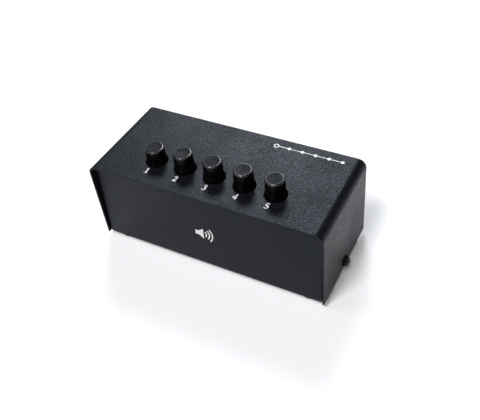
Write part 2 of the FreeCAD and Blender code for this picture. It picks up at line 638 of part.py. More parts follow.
def button_cap():
    """A moulded cap in its upper place, about x = 0: tapered shell, dished top, boss with a socket."""
    skirt, waist, rim = CAP_SKIRT_RADIUS, CAP_WAIST_RADIUS, CAP_TOP_RADIUS
    band_top = COVER_TOP_Z + CAP_BAND
    flare_top = COVER_TOP_Z + CAP_FLARE_HEIGHT
    top = CAP_TOP_Z
    points = [Vector(0, 0, top - CAP_DISH), Vector(rim - CAP_RIM, 0, top), Vector(rim, 0, top - CAP_RIM),
              Vector(waist, 0, flare_top), Vector(skirt, 0, band_top), Vector(skirt, 0, CAP_BOTTOM_Z),
              Vector(0, 0, CAP_BOTTOM_Z)]
    sag = Vector((rim - CAP_RIM) / 2, 0, top - CAP_DISH * CAP_DISH_SHAPE)
    dish = Part.Arc(points[0], sag, points[1]).toShape()
    swell = Vector((waist + skirt) / 2 - CAP_FLARE_HOLLOW, 0, (flare_top + band_top) / 2)
    flare = Part.Arc(points[3], swell, points[4]).toShape()
    edges = [dish, Part.makeLine(points[1], points[2]), Part.makeLine(points[2], points[3]), flare]
    edges += [Part.makeLine(a, b) for a, b in zip(points[4:], points[5:] + points[:1])]
    cap = Part.Face(Part.Wire(edges)).revolve(Vector(), UP, 360)
    roof = top - CAP_ROOF
    cap = cap.cut(rod(rim - CAP_WALL, roof - CAP_BOTTOM_Z, Vector(0, 0, CAP_BOTTOM_Z)))
    cap = cap.fuse(rod(CAP_BOSS_RADIUS, roof - CAP_BOSS_Z, Vector(0, 0, CAP_BOSS_Z)))
    half = STEM_WIDTH / 2 + STEM_SOCKET_CLEARANCE
    cap = cap.cut(block(-half, half, -half, half, CAP_BOTTOM_Z, STEM_TOP_Z + STEM_END_CLEARANCE))
    cap.translate(Vector(0, ROW_Y, 0))
    return cap.removeSplitter()


def return_spring(push):
    """A return spring about x = 0, from the frame up to the boss of a cap that is pushed in by a depth."""
    length = CAP_BOSS_Z - push - FRAME_TOP_Z - 2 * SPRING_END_GAP
    spring = coil(RETURN_SPRING_RADIUS, RETURN_SPRING_WIRE, RETURN_SPRING_TURNS, length)
    spring.translate(Vector(0, ROW_Y, FRAME_TOP_Z + SPRING_END_GAP))
    return spring


def switch_frame():
    """The folded steel frame over the bank: stem windows, skirts along the housings, feet on the board."""
    end, depth = FRAME_HALF_LENGTH, FRAME_HALF_DEPTH
    foot_end = end + FRAME_FOOT_LENGTH
    inside = end - FRAME_SHEET
    frame = block(-end, end, ROW_Y - depth, ROW_Y + depth, FRAME_UNDER_Z, FRAME_TOP_Z)
    for side in (-1, 1):
        edge = ROW_Y + side * depth
        inner = edge - side * FRAME_SHEET
        frame = frame.fuse(block(-BANK_HALF_LENGTH, BANK_HALF_LENGTH, min(edge, inner), max(edge, inner),
                                 FRAME_TOP_Z - FRAME_SKIRT, FRAME_UNDER_Z))
        half_foot = FRAME_FOOT_WIDTH / 2
        leg = block(inside, end, ROW_Y - half_foot, ROW_Y + half_foot, BOARD_TOP_Z, FRAME_UNDER_Z)
        foot = block(inside, foot_end, ROW_Y - half_foot, ROW_Y + half_foot,
                     BOARD_TOP_Z, BOARD_TOP_Z + FRAME_SHEET)
        foot = foot.cut(rod(SCREW_SHANK_RADIUS + SCREW_CLEARANCE, FRAME_SHEET + 2 * CUT_PAST,
                            Vector(FRAME_FOOT_X, ROW_Y, BOARD_TOP_Z - CUT_PAST)))
        leg = leg.fuse(foot)
        if side < 0:
            leg = leg.mirror(Vector(), ALONG_X)
        frame = frame.fuse(leg)
    slot_y = LATCH_BAR_DEPTH / 2 - LATCH_TONGUE_STEP + FRAME_BAR_SLOT_CLEARANCE
    frame = frame.cut(block(-foot_end, -BANK_HALF_LENGTH, ROW_Y - slot_y, ROW_Y + slot_y,
                            LATCH_UNDER_Z - FRAME_BAR_SLOT_CLEARANCE, LATCH_TOP_Z + LATCH_SLIDE_GAP))
    for x in BUTTON_XS:
        window = stem_window(FRAME_UNDER_Z, FRAME_TOP_Z)
        window.translate(ALONG_X * x)
        frame = frame.cut(window)
    pin_length = LATCH_SPRING_LENGTH / 2
    pin_start = Vector(inside - pin_length, ROW_Y, LATCH_SPRING_Z)
    pin = rod(LATCH_SPRING_PIN_RADIUS, pin_length, pin_start, ALONG_X)
    return frame.fuse(pin).removeSplitter()


def latch_bar():
    """The sliding bar at rest: a window round each stem, a tongue at the left, a tab for its spring."""
    half = LATCH_BAR_DEPTH / 2
    inner_left = -(FRAME_HALF_LENGTH - FRAME_SHEET)
    bar = block(inner_left + LATCH_SLIDE_GAP, LATCH_TAB_X + LATCH_SHEET, ROW_Y - half, ROW_Y + half,
                LATCH_UNDER_Z, LATCH_TOP_Z)
    tongue_half = half - LATCH_TONGUE_STEP
    tongue = block(-FRAME_HALF_LENGTH - LATCH_OVERHANG, inner_left + LATCH_SHEET,
                   ROW_Y - tongue_half, ROW_Y + tongue_half, LATCH_UNDER_Z, LATCH_TOP_Z)
    tab_half = LATCH_TAB_WIDTH / 2
    tab = block(LATCH_TAB_X, LATCH_TAB_X + LATCH_SHEET, ROW_Y - tab_half, ROW_Y + tab_half,
                LATCH_UNDER_Z - LATCH_TAB_HEIGHT, LATCH_UNDER_Z)
    bar = bar.fuse([tongue, tab])
    left = STEM_WIDTH / 2 + LATCH_TRAVEL + STEM_GUIDE_CLEARANCE
    right = STEM_WIDTH / 2 + NOSE_REACH + LATCH_SIDE_CLEARANCE
    window = LATCH_WINDOW_DEPTH / 2
    for x in BUTTON_XS:
        bar = bar.cut(block(x - left, x + right, ROW_Y - window, ROW_Y + window,
                            LATCH_UNDER_Z - CUT_PAST, LATCH_TOP_Z + CUT_PAST))
    return bar.removeSplitter()


def latch_spring():
    """The latch bar's spring, on its pin against the right leg."""
    spring = coil(LATCH_SPRING_RADIUS, LATCH_SPRING_WIRE, LATCH_SPRING_TURNS, LATCH_SPRING_LENGTH)
    start = FRAME_HALF_LENGTH - FRAME_SHEET - SPRING_END_GAP - LATCH_SPRING_LENGTH
    return placed(spring, Vector(start, ROW_Y, LATCH_SPRING_Z), ALONG_X)


def frame_screws():
    """Screws down through the frame's feet and the board."""
    screw = pan_screw(FRAME_SCREW_LENGTH, SMALL_HEAD_HEIGHT)
    z = BOARD_TOP_Z + FRAME_SHEET
    return [placed(screw, Vector(side * FRAME_FOOT_X, ROW_Y, z)) for side in (-1, 1)]


def frame_nuts():
    """Hexagon nuts under the board."""
    nut = hexagon(NUT_ACROSS_FLATS, NUT_HEIGHT, Vector())
    nut = nut.cut(rod(SCREW_SHANK_RADIUS + THREAD_CLEARANCE, NUT_HEIGHT, Vector()))
    z = BOARD_UNDER_Z - NUT_HEIGHT
    return [placed(nut, Vector(side * FRAME_FOOT_X, ROW_Y, z)) for side in (-1, 1)]


# ---------------------------------------------------------------- jacks
def jack_body():
    """A jack housing about x = 0: block, threaded neck, round collar bore and a square chamber behind it."""
    half = JACK_WIDTH / 2
    back = JACK_FACE_Y - JACK_DEPTH
    body = block(-half, half, back, JACK_FACE_Y, BOARD_TOP_Z, BOARD_TOP_Z + JACK_HEIGHT)
    straight = JACK_NECK_LENGTH - JACK_NECK_CHAMFER
    neck = rod(JACK_NECK_RADIUS, straight, Vector(0, JACK_FACE_Y, JACK_Z), ALONG_Y)
    tip = Part.makeCone(JACK_NECK_RADIUS, JACK_NECK_RADIUS - JACK_NECK_CHAMFER, JACK_NECK_CHAMFER,
                        Vector(0, JACK_FACE_Y + straight, JACK_Z), ALONG_Y)
    body = body.fuse([neck, tip])
    chamber_y = JACK_MOUTH_Y - JACK_COLLAR_LENGTH
    bore_start = Vector(0, chamber_y - CUT_PAST, JACK_Z)
    body = body.cut(rod(JACK_BORE_RADIUS, JACK_COLLAR_LENGTH + 2 * CUT_PAST, bore_start, ALONG_Y))
    half_x, half_z = JACK_CHAMBER_WIDTH / 2, JACK_CHAMBER_HEIGHT / 2
    body = body.cut(block(-half_x, half_x, back + JACK_BACK_WALL, chamber_y,
                          JACK_Z - half_z, JACK_Z + half_z))
    long, short = JACK_PIN_WIDTH / 2 + BLADE_SEAT_GAP, JACK_LEAF_THICKNESS / 2 + BLADE_SEAT_GAP
    for dx, dy in jack_pin_places():
        slot_x, slot_y = (short, long) if dx else (long, short)
        top = JACK_Z if dx else JACK_SLEEVE_TOP_Z + BLADE_SEAT_GAP
        y = JACK_FACE_Y + dy
        body = body.cut(block(dx - slot_x, dx + slot_x, y - slot_y, y + slot_y,
                              BOARD_TOP_Z - CUT_PAST, top))
    return body.removeSplitter()


def jack_contacts(x):
    """The tip, ring and sleeve contacts of one jack, each with its solder pin."""
    half_t, half_pin = JACK_LEAF_THICKNESS / 2, JACK_PIN_WIDTH / 2
    pin_end = BOARD_UNDER_Z - PIN_BELOW_BOARD
    contacts = []
    for dx, dy in jack_pin_places():
        y = JACK_FACE_Y + dy
        if dx:
            pin = block(x + dx - half_t, x + dx + half_t, y - half_pin, y + half_pin, pin_end, JACK_Z)
            leaf = block(x + dx - half_t, x + dx + half_t, y - half_pin, y - half_pin + JACK_LEAF_LENGTH,
                         JACK_Z - JACK_LEAF_WIDTH / 2, JACK_Z + JACK_LEAF_WIDTH / 2)
            contacts.append(pin.fuse(leaf).removeSplitter())
        else:
            contacts.append(block(x - half_pin, x + half_pin, y - half_t, y + half_t,
                                  pin_end, JACK_SLEEVE_TOP_Z))
    return contacts


def jack_nuts():
    """Chamfered hexagon nuts that hold the jacks to the back panel."""
    corner = JACK_NUT_ACROSS_FLATS / sqrt(3)
    flat = corner - JACK_NUT_CHAMFER
    nut = hexagon(JACK_NUT_ACROSS_FLATS, JACK_NUT_HEIGHT, Vector())
    nut = nut.common(turned([(0, 0), (corner, 0), (corner, JACK_NUT_HEIGHT - JACK_NUT_CHAMFER),
                             (flat, JACK_NUT_HEIGHT), (0, JACK_NUT_HEIGHT)]))
    nut = nut.cut(rod(JACK_NECK_RADIUS + THREAD_CLEARANCE, JACK_NUT_HEIGHT, Vector()))
    return [placed(nut, Vector(x, BACK_PANEL_Y + JACK_PANEL_GAP, JACK_Z), ALONG_Y) for x in JACK_XS]


# ---------------------------------------------------------------- the assembly
def moved(shape, x, push=0.0):
    """A copy of a shape moved to a button's place and pushed down."""
    copy = shape.copy()
    copy.translate(Vector(x, 0, -push))
    return copy


def write_buttons():
    """Caps, plungers, contact clips, springs and housings, one node each for every button."""
    cap, stem, clips, body = button_cap(), plunger(), contact_clips(), switch_body()
    for n, x in enumerate(BUTTON_XS, 1):
        push = LATCHED_DEPTH if n == LATCHED_BUTTON else 0.0
        write(f"button_cap_{n}", moved(cap, x, push))
        write(f"plunger_{n}", moved(stem, x, push))
        write(f"contact_clips_{n}", [moved(clip, x, push) for clip in clips])
        write(f"return_spring_{n}", moved(return_spring(push), x))
        write(f"switch_body_{n}", moved(body, x))


def main():
    """Write every node to parts/."""
    os.makedirs("parts", exist_ok=True)
    write("top_cover", top_cover())
    write("base_chassis", base_chassis())
    write("cover_screws", cover_screws())
    write("rubber_feet", rubber_feet())
    write("main_board", main_board())
    write("board_standoffs", board_standoffs())
    write("board_screws", board_screws())
    write("floor_screws", floor_screws())
    write_buttons()
    write("switch_bases", [moved(switch_base(), x) for x in BUTTON_XS])
    write("switch_terminals", [moved(blade, x) for x in BUTTON_XS for blade in switch_blades()])
    write("switch_frame", switch_frame())
    write("latch_bar", latch_bar())
    write("latch_spring", latch_spring())
    write("frame_screws", frame_screws())
    write("frame_nuts", frame_nuts())
    jack = jack_body()
    for n, x in enumerate(BUTTON_XS, 1):
        write(f"jack_body_{n}", moved(jack, x))
    write("jack_body_common", moved(jack, JACK_COMMON_X))
    write("jack_contacts", [contact for x in JACK_XS for contact in jack_contacts(x)])
    write("jack_nuts", jack_nuts())


main()
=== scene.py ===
"""Looks of a five-button speaker selector switch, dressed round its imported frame."""

import logging
import math
from collections.abc import Iterable, Sequence
from dataclasses import dataclass, field
from enum import Enum

import bmesh
import bpy
from mathutils import Matrix, Vector


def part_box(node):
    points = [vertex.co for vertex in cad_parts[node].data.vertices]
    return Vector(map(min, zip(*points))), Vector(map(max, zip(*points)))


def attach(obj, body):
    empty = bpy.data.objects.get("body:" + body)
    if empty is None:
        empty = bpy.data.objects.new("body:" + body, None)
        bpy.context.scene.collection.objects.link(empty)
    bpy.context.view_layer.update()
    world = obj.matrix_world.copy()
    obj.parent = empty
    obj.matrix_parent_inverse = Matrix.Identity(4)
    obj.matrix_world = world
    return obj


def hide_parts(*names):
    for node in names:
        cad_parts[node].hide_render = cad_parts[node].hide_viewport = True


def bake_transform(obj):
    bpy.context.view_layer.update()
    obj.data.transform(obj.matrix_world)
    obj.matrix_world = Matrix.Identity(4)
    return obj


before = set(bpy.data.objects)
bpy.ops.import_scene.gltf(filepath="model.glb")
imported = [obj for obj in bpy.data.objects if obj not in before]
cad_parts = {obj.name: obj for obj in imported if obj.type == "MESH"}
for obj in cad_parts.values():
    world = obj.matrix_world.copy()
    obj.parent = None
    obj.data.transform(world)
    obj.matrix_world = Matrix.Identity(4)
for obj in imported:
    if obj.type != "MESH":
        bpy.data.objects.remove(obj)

Colour = tuple[float, float, float]
Shape = bmesh.types.BMesh
Edge = bmesh.types.BMEdge
Socket = bpy.types.NodeSocket
Material = bpy.types.Material

LOG = logging.getLogger("speaker_selector")
MM = 0.001
BOX_BODY = "box"
WHITE = (1.0, 1.0, 1.0, 1.0)
SIDES = (-1.0, 1.0)
# Facets of a full round: wide parts, usual parts and drills that nobody sees into
WIDE_STEPS, ROUND_STEPS, DRILL_STEPS = 96, 64, 32
# Sizes that several sub-assemblies share, in millimetres
COVER_TOP = 60.6
BUTTON_COUNT = 5
BUTTON_PITCH = 20.0
BUTTON_ROW_Y = -12.5
BUTTONS = range(1, BUTTON_COUNT + 1)
# The part of a noise pattern's values in which most of it lies
PATTERN_LOW, PATTERN_HIGH = 0.3, 0.7
# How far round its pitch a thread's crest ends, its groove's floor starts and that floor ends
THREAD_CREST, THREAD_ROOT, THREAD_RISE = 0.2, 0.55, 0.7
# The middle of a numeral, as shares of its height
NUMERAL_MIDDLE = (0.31, 0.5)


class PrintFace(Enum):
    """The outer faces of the box that carry printed marks."""

    TOP = "top"
    FRONT = "front"
    BACK = "back"


class Metal(Enum):
    """Bare and plated metals, each with its colour."""

    ZINC = (0.66, 0.68, 0.71)
    STEEL = (0.50, 0.51, 0.53)
    BRASS = (0.78, 0.57, 0.24)
    SILVER = (0.83, 0.82, 0.78)
    NICKEL = (0.70, 0.68, 0.64)


# ---------------------------------------------------------------- node sheets and finishes
class NodeBench:
    """A node tree with short ways to add and join its nodes."""

    def __init__(self, tree: bpy.types.NodeTree) -> None:
        """Takes a tree in hand."""
        self.tree = tree

    def add(self, kind: str, sockets: dict[int | str, object] | None = None,
            **settings: object) -> bpy.types.Node:
        """Adds a node.

        Args:
            kind: Blender's name for the node.
            sockets: Values for its inputs; a value that is itself a socket is joined.
            settings: Values for the node's own properties.

        Returns:
            The new node.
        """
        node = self.tree.nodes.new(kind)
        for key, value in settings.items():
            setattr(node, key, value)
        for key, value in (sockets or {}).items():
            self.feed(node.inputs[key], value)
        return node

    def feed(self, socket: Socket, value: object) -> None:
        """Joins a socket to an output, or sets its own value."""
        if isinstance(value, Socket):
            self.tree.links.new(value, socket)
        else:
            socket.default_value = value

    def reckon(self, operation: str, *values: object, clamp: bool = False) -> Socket:
        """The result of a calculation with numbers or sockets."""
        sockets = dict(enumerate(values))
        return self.add("ShaderNodeMath", sockets, operation=operation, use_clamp=clamp).outputs["Value"]

    def between(self, value: Socket, low: float, high: float, start: float = PATTERN_LOW,
                end: float = PATTERN_HIGH, smooth: bool = False) -> Socket:
        """Maps the part of a value from start to end onto low to high."""
        sockets = {"Value": value, "From Min": start, "From Max": end, "To Min": low, "To Max": high}
        kind = "SMOOTHSTEP" if smooth else "LINEAR"
        return self.add("ShaderNodeMapRange", sockets, interpolation_type=kind).outputs["Result"]


class NodeSheet(NodeBench):
    """The node sheet of one finish, with patterns and relief for its shader."""

    def __init__(self, name: str, colour: Colour) -> None:
        """Starts a material whose viewport colour is the finish's own.

        Args:
            name: Name of the material.
            colour: Main colour of the finish.
        """
        self.material = bpy.data.materials.new(name)
        self.material.use_nodes = True
        self.material.diffuse_color = (*colour, 1.0)
        super().__init__(self.material.node_tree)
        self.shader = self.tree.nodes["Principled BSDF"]
        self.place = self.tree.nodes.new("ShaderNodeTexCoord").outputs["Object"]

    def dress(self, **values: object) -> None:
        """Sets or joins inputs of the shader, with underscores for the spaces in their names."""
        for key, value in values.items():
            self.feed(self.shader.inputs[key.replace("_", " ")], value)

    def spread(self, stretch: Colour) -> Socket:
        """The piece's own coordinates, stretched along its axes."""
        return self.add("ShaderNodeMapping", {"Vector": self.place, "Scale": stretch}).outputs["Vector"]

    def noise(self, grain: float, detail: float = 2.0, stretch: Colour = (1.0, 1.0, 1.0),
              roughness: float = 0.5) -> Socket:
        """A noise pattern.

        Args:
            grain: Size of one grain in metres.
            detail: How many finer layers it has.
            stretch: Scale of the pattern along each axis.
            roughness: Strength of the finer layers.

        Returns:
            The pattern's value.
        """
        sockets = {"Vector": self.spread(stretch), "Scale": 1.0 / grain, "Detail": detail,
                   "Roughness": roughness}
        return self.add("ShaderNodeTexNoise", sockets).outputs["Fac"]

    def blend(self, share: Socket, first: Colour, second: Colour) -> Socket:
        """A colour that goes from one to another with a pattern."""
        ramp = self.add("ShaderNodeValToRGB", {"Fac": share})
        stops = zip(ramp.color_ramp.elements, (first, second), (PATTERN_LOW, PATTERN_HIGH))
        for stop, colour, position in stops:
            stop.color = (*colour, 1.0)
            stop.position = position
        return ramp.outputs["Color"]

    def bump(self, height: Socket, depth: float, strength: float,
             under: Socket | None = None) -> Socket:
        """Relief from a pattern.

        Args:
            height: The pattern.
            depth: Height of the relief in metres.
            strength: Share of the relief that shows.
            under: Normal of a coarser relief below it.

        Returns:
            The relief's normal.
        """
        sockets = {"Height": height, "Distance": depth, "Strength": strength}
        if under is not None:
            sockets["Normal"] = under
        return self.add("ShaderNodeBump", sockets).outputs["Normal"]

    def soft_edges(self, radius: float) -> Socket:
        """The normal of edges that are broken by a small radius."""
        return self.add("ShaderNodeBevel", {"Radius": radius}, samples=4).outputs["Normal"]


@dataclass(frozen=True)
class PowderCoat:
    """Baked powder paint on steel sheet: fine pimples, small flecks and a soft bluish sheen."""

    name: str
    colour: Colour = (0.0034, 0.0039, 0.0052)
    fleck: Colour = (0.0078, 0.0088, 0.0115)
    sheen: Colour = (0.70, 0.81, 1.0)
    shine: float = 0.14
    gloss_low: float = 0.27
    gloss_high: float = 0.57
    pimple: float = 1.3 * MM
    fine: float = 0.75 * MM
    depth: float = 0.25 * MM
    relief: tuple[float, float] = (0.6, 0.5)
    cloud: float = 30.0 * MM
    fine_share: float = 0.25
    handled: tuple[float, float] = (0.45, 0.80)
    edge: float = 0.20 * MM

    def material(self) -> Material:
        """Builds the paint."""
        sheet = NodeSheet(self.name, self.colour)
        pimples = sheet.noise(self.pimple, 4.0, roughness=0.6)
        fine = sheet.noise(self.fine, 2.0)
        cloud = sheet.noise(self.cloud, 2.0)
        handled = sheet.reckon("MULTIPLY_ADD", cloud, self.fine_share, fine)
        normal = sheet.bump(pimples, self.depth, self.relief[0], sheet.soft_edges(self.edge))
        normal = sheet.bump(fine, self.depth / 4.0, self.relief[1], normal)
        sheet.dress(
            Base_Color=sheet.blend(pimples, self.colour, self.fleck),
            Roughness=sheet.between(handled, self.gloss_low, self.gloss_high, *self.handled),
            Normal=normal,
            Specular_IOR_Level=self.shine,
            Specular_Tint=(*self.sheen, 1.0),
        )
        return sheet.material


@dataclass(frozen=True)
class MouldedPlastic:
    """Injection-moulded plastic with a faint flow pattern and a fine tool texture."""

    name: str
    colour: Colour
    tint: Colour
    gloss: float = 0.22
    gloss_spread: tuple[float, float] = (0.85, 1.2)
    flow: float = 6.0 * MM
    flow_stretch: Colour = (1.0, 1.0, 0.35)
    texture: float = 0.35 * MM
    depth: float = 0.01 * MM
    relief: float = 0.3
    edge: float = 0.10 * MM
    ior: float = 1.5
    sheen: Colour = (1.0, 1.0, 1.0)
    see_into: float = 0.0
    scatter: Colour = (1.0, 0.9, 0.7)
    scatter_depth: float = 0.6 * MM

    def material(self) -> Material:
        """Builds the plastic."""
        sheet = NodeSheet(self.name, self.colour)
        flow = sheet.noise(self.flow, 3.0, self.flow_stretch)
        texture = sheet.noise(self.texture, 2.0)
        sheet.dress(
            Base_Color=sheet.blend(flow, self.colour, self.tint),
            Roughness=sheet.between(flow, *(self.gloss * share for share in self.gloss_spread)),
            Normal=sheet.bump(texture, self.depth, self.relief, sheet.soft_edges(self.edge)),
            IOR=self.ior,
            Specular_Tint=(*self.sheen, 1.0),
        )
        if self.see_into:
            sheet.dress(Subsurface_Weight=self.see_into, Subsurface_Radius=self.scatter,
                        Subsurface_Scale=self.scatter_depth)
        return sheet.material


@dataclass(frozen=True)
class MetalFinish:
    """Plated or bare metal with rolling marks along one axis and small stains."""

    name: str
    metal: Metal
    gloss: float = 0.28
    rolled: Colour = (0.06, 1.0, 1.0)
    gloss_spread: tuple[float, float] = (0.75, 1.35)
    mark: float = 0.15 * MM
    mark_depth: float = 0.004 * MM
    relief: float = 0.4
    stain: float = 0.75
    stain_size: float = 3.0 * MM
    edge: float = 0.08 * MM

    def material(self) -> Material:
        """Builds the metal."""
        colour = self.metal.value
        sheet = NodeSheet(self.name, colour)
        marks = sheet.noise(self.mark, 3.0, self.rolled)
        stains = sheet.noise(self.stain_size, 4.0)
        stained = tuple(channel * self.stain for channel in colour)
        sheet.dress(
            Base_Color=sheet.blend(stains, stained, colour),
            Metallic=1.0,
            Roughness=sheet.between(marks, *(self.gloss * share for share in self.gloss_spread)),
            Normal=sheet.bump(marks, self.mark_depth, self.relief, sheet.soft_edges(self.edge)),
        )
        return sheet.material


@dataclass(frozen=True)
class BlackOxide:
    """Blackened screw steel, oily in the hollows and worn to grey on high spots."""

    name: str
    colour: Colour = (0.004, 0.004, 0.0045)
    worn: Colour = (0.016, 0.016, 0.017)
    patch: float = 0.5 * MM
    worn_from: tuple[float, float] = (0.5, 0.8)
    gloss: tuple[float, float] = (0.24, 0.42)
    ior: float = 1.3
    depth: float = 0.01 * MM
    relief: float = 0.4
    edge: float = 0.12 * MM

    def material(self) -> Material:
        """Builds the blackened steel."""
        sheet = NodeSheet(self.name, self.colour)
        wear = sheet.noise(self.patch, 4.0, roughness=0.65)
        sheet.dress(
            Base_Color=sheet.blend(sheet.between(wear, 0.0, 1.0, *self.worn_from), self.colour, self.worn),
            Roughness=sheet.between(wear, *self.gloss),
            IOR=self.ior,
            Normal=sheet.bump(wear, self.depth, self.relief, sheet.soft_edges(self.edge)),
        )
        return sheet.material


@dataclass(frozen=True)
class Rubber:
    """Matt rubber with a dusty bloom and a stippled skin."""

    name: str
    colour: Colour = (0.012, 0.012, 0.013)
    bloom: Colour = (0.030, 0.030, 0.031)
    dust: float = 2.5 * MM
    stipple: float = 0.3 * MM
    gloss: tuple[float, float] = (0.72, 0.9)
    shine: float = 0.35
    depth: float = 0.03 * MM
    relief: float = 0.5
    edge: float = 0.2 * MM

    def material(self) -> Material:
        """Builds the rubber."""
        sheet = NodeSheet(self.name, self.colour)
        dust = sheet.noise(self.dust, 5.0)
        stipple = sheet.noise(self.stipple, 2.0)
        sheet.dress(
            Base_Color=sheet.blend(dust, self.colour, self.bloom),
            Roughness=sheet.between(dust, *self.gloss),
            Normal=sheet.bump(stipple, self.depth, self.relief, sheet.soft_edges(self.edge)),
            Specular_IOR_Level=self.shine,
        )
        return sheet.material


@dataclass(frozen=True)
class Laminate:
    """Circuit board: lacquer over a woven glass core whose threads show faintly."""

    name: str
    colour: Colour = (0.010, 0.085, 0.030)
    thread: Colour = (0.030, 0.150, 0.060)
    pitch: float = 0.6 * MM
    waver: float = 0.6
    gloss: tuple[float, float] = (0.24, 0.34)
    depth: float = 0.01 * MM
    relief: float = 0.3
    edge: float = 0.1 * MM

    def material(self) -> Material:
        """Builds the board."""
        sheet = NodeSheet(self.name, self.colour)
        weave = []
        for direction in ("X", "Y"):
            sockets = {"Vector": sheet.place, "Scale": 1.0 / (math.pi * self.pitch),
                       "Distortion": self.waver, "Detail": 1.0}
            bands = sheet.add("ShaderNodeTexWave", sockets, bands_direction=direction)
            weave.append(bands.outputs["Fac"])
        cloth = sheet.reckon("MULTIPLY", *weave)
        sheet.dress(
            Base_Color=sheet.blend(cloth, self.colour, self.thread),
            Roughness=sheet.between(cloth, *self.gloss),
            Normal=sheet.bump(cloth, self.depth, self.relief, sheet.soft_edges(self.edge)),
        )
        return sheet.material


@dataclass(frozen=True)
class PadInk:
    """White pad-printed ink, a little thin where the paint's pimples stand up."""

    name: str
    colour: Colour = (0.88, 0.88, 0.87)
    thin: Colour = (0.74, 0.74, 0.74)
    pimple: float = 0.9 * MM
    gloss: tuple[float, float] = (0.42, 0.55)
    depth: float = 0.03 * MM
    relief: float = 0.3

    def material(self) -> Material:
        """Builds the ink."""
        sheet = NodeSheet(self.name, self.colour)
        pimples = sheet.noise(self.pimple, 3.0)
        sheet.dress(
            Base_Color=sheet.blend(pimples, self.thin, self.colour),
            Roughness=sheet.between(pimples, *self.gloss),
            Normal=sheet.bump(pimples, self.depth, self.relief),
        )
        return sheet.material


class FinishRack:
    """Every finish of the selector, built once and handed out by its name."""

    def __init__(self) -> None:
        """Builds the materials."""
        finishes = [
            PowderCoat("cover_paint"),
            PowderCoat("chassis_paint", shine=0.18, gloss_low=0.34, gloss_high=0.50, depth=0.24 * MM),
            BlackOxide("black_screw"),
            Rubber("foot_rubber"),
            Laminate("board_laminate"),
            MetalFinish("pillar_brass", Metal.BRASS, rolled=(1.0, 1.0, 0.06)),
            MetalFinish("zinc_steel", Metal.ZINC),
            MetalFinish("spring_steel", Metal.STEEL, 0.24, (1.0, 1.0, 1.0)),
            # The cap's rim, face and side are one black moulding. The face gets a lighter, bluish copy of the
            # plastic and the side a darker one: painted light on the top and painted shade on the sides, on
            # top of their own gloss.
            MouldedPlastic("cap_plastic", (0.0022, 0.0022, 0.0026), (0.0036, 0.0036, 0.0042), 0.15, ior=1.65),
            MouldedPlastic("cap_face", (0.0034, 0.0034, 0.0042), (0.0064, 0.0066, 0.0078), 0.52,
                           depth=0.02 * MM, ior=1.25, sheen=(0.76, 0.86, 1.0)),
            MouldedPlastic("cap_side", (0.0014, 0.0011, 0.0013), (0.0026, 0.0022, 0.0026), 0.24, ior=1.22),
            MouldedPlastic("plunger_plastic", (0.78, 0.77, 0.72), (0.84, 0.83, 0.79), 0.38, see_into=0.12),
            MouldedPlastic("switch_plastic", (0.016, 0.015, 0.014), (0.026, 0.024, 0.022), 0.42),
            MetalFinish("contact_metal", Metal.SILVER, 0.26, (1.0, 1.0, 0.06)),
            MouldedPlastic("jack_plastic", (0.009, 0.009, 0.010), (0.014, 0.014, 0.015), 0.36),
            MetalFinish("nut_nickel", Metal.NICKEL, 0.20, (1.0, 0.08, 1.0)),
            PadInk("white_ink"),
        ]
        self.materials = {finish.name: finish.material() for finish in finishes}

    def __getitem__(self, name: str) -> Material:
        """The material with a name."""
        return self.materials[name]

    def coat(self, node: str, name: str) -> None:
        """Gives a carried-over node its finish."""
        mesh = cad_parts[node].data
        mesh.materials.clear()
        mesh.materials.append(self[name])
        LOG.info("node %s finished in %s", node, name)


# ---------------------------------------------------------------- mesh work
def at(x: float, y: float, z: float) -> Matrix:
    """A shift by millimetres."""
    return Matrix.Translation(Vector((x, y, z)) * MM)


def turn(degrees: float, axis: str) -> Matrix:
    """A turn about an axis."""
    return Matrix.Rotation(math.radians(degrees), 4, axis)


def button_x(number: int) -> float:
    """The place of a button along its row, in millimetres."""
    return (number - (BUTTON_COUNT + 1) / 2.0) * BUTTON_PITCH


def moved(shape: Shape, place: Matrix) -> Shape:
    """The same shape, moved."""
    bmesh.ops.transform(shape, matrix=place, verts=shape.verts[:])
    return shape


def faced_out(shape: Shape) -> Shape:
    """The same shape, its faces turned outwards."""
    bmesh.ops.recalc_face_normals(shape, faces=shape.faces[:])
    return shape


def sharp_edges(shape: Shape, degrees: float) -> list[Edge]:
    """The edges whose two faces meet at more than an angle."""
    limit = math.radians(degrees)
    return [edge for edge in shape.edges if edge.is_manifold and edge.calc_face_angle(0.0) > limit]


def break_edges(shape: Shape, edges: Iterable[Edge], radius: float,
                segments: int = 3) -> None:
    """Rounds edges.

    Args:
        shape: The shape.
        edges: Its edges to round.
        radius: Radius in millimetres.
        segments: Steps in each rounding.
    """
    bmesh.ops.bevel(shape, geom=list(edges), offset=radius * MM, offset_type="OFFSET", segments=segments,
                    profile=0.5, affect="EDGES", clamp_overlap=True, material=-1)


def turned(outline: Sequence[tuple[float, float]], steps: int) -> Shape:
    """A shape turned about Z.

    Args:
        outline: (radius, height) points in millimetres, ends on the axis or met.
        steps: Facets in the round.

    Returns:
        The turned shape, faces outwards.
    """
    shape = bmesh.new()
    points = [shape.verts.new(Vector((radius, 0.0, height)) * MM) for radius, height in outline]
    for first, second in zip(points, points[1:]):
        shape.edges.new((first, second))
    bmesh.ops.spin(shape, geom=shape.verts[:] + shape.edges[:], cent=(0.0, 0.0, 0.0), axis=(0.0, 0.0, 1.0),
                   angle=math.tau, steps=steps, use_merge=True, use_duplicate=False)
    bmesh.ops.remove_doubles(shape, verts=shape.verts[:], dist=0.001 * MM)
    return faced_out(shape)


def rod(radius: float, length: float, place: Matrix, steps: int = ROUND_STEPS) -> Shape:
    """A closed cylinder about the Z axis of a place.

    Args:
        radius: Radius in millimetres.
        length: Length in millimetres, half of it on each side of the place.
        place: Where it stands.
        steps: Facets in the round.

    Returns:
        The cylinder.
    """
    shape = bmesh.new()
    bmesh.ops.create_cone(shape, cap_ends=True, segments=steps, radius1=radius * MM, radius2=radius * MM,
                          depth=length * MM, matrix=place)
    return shape


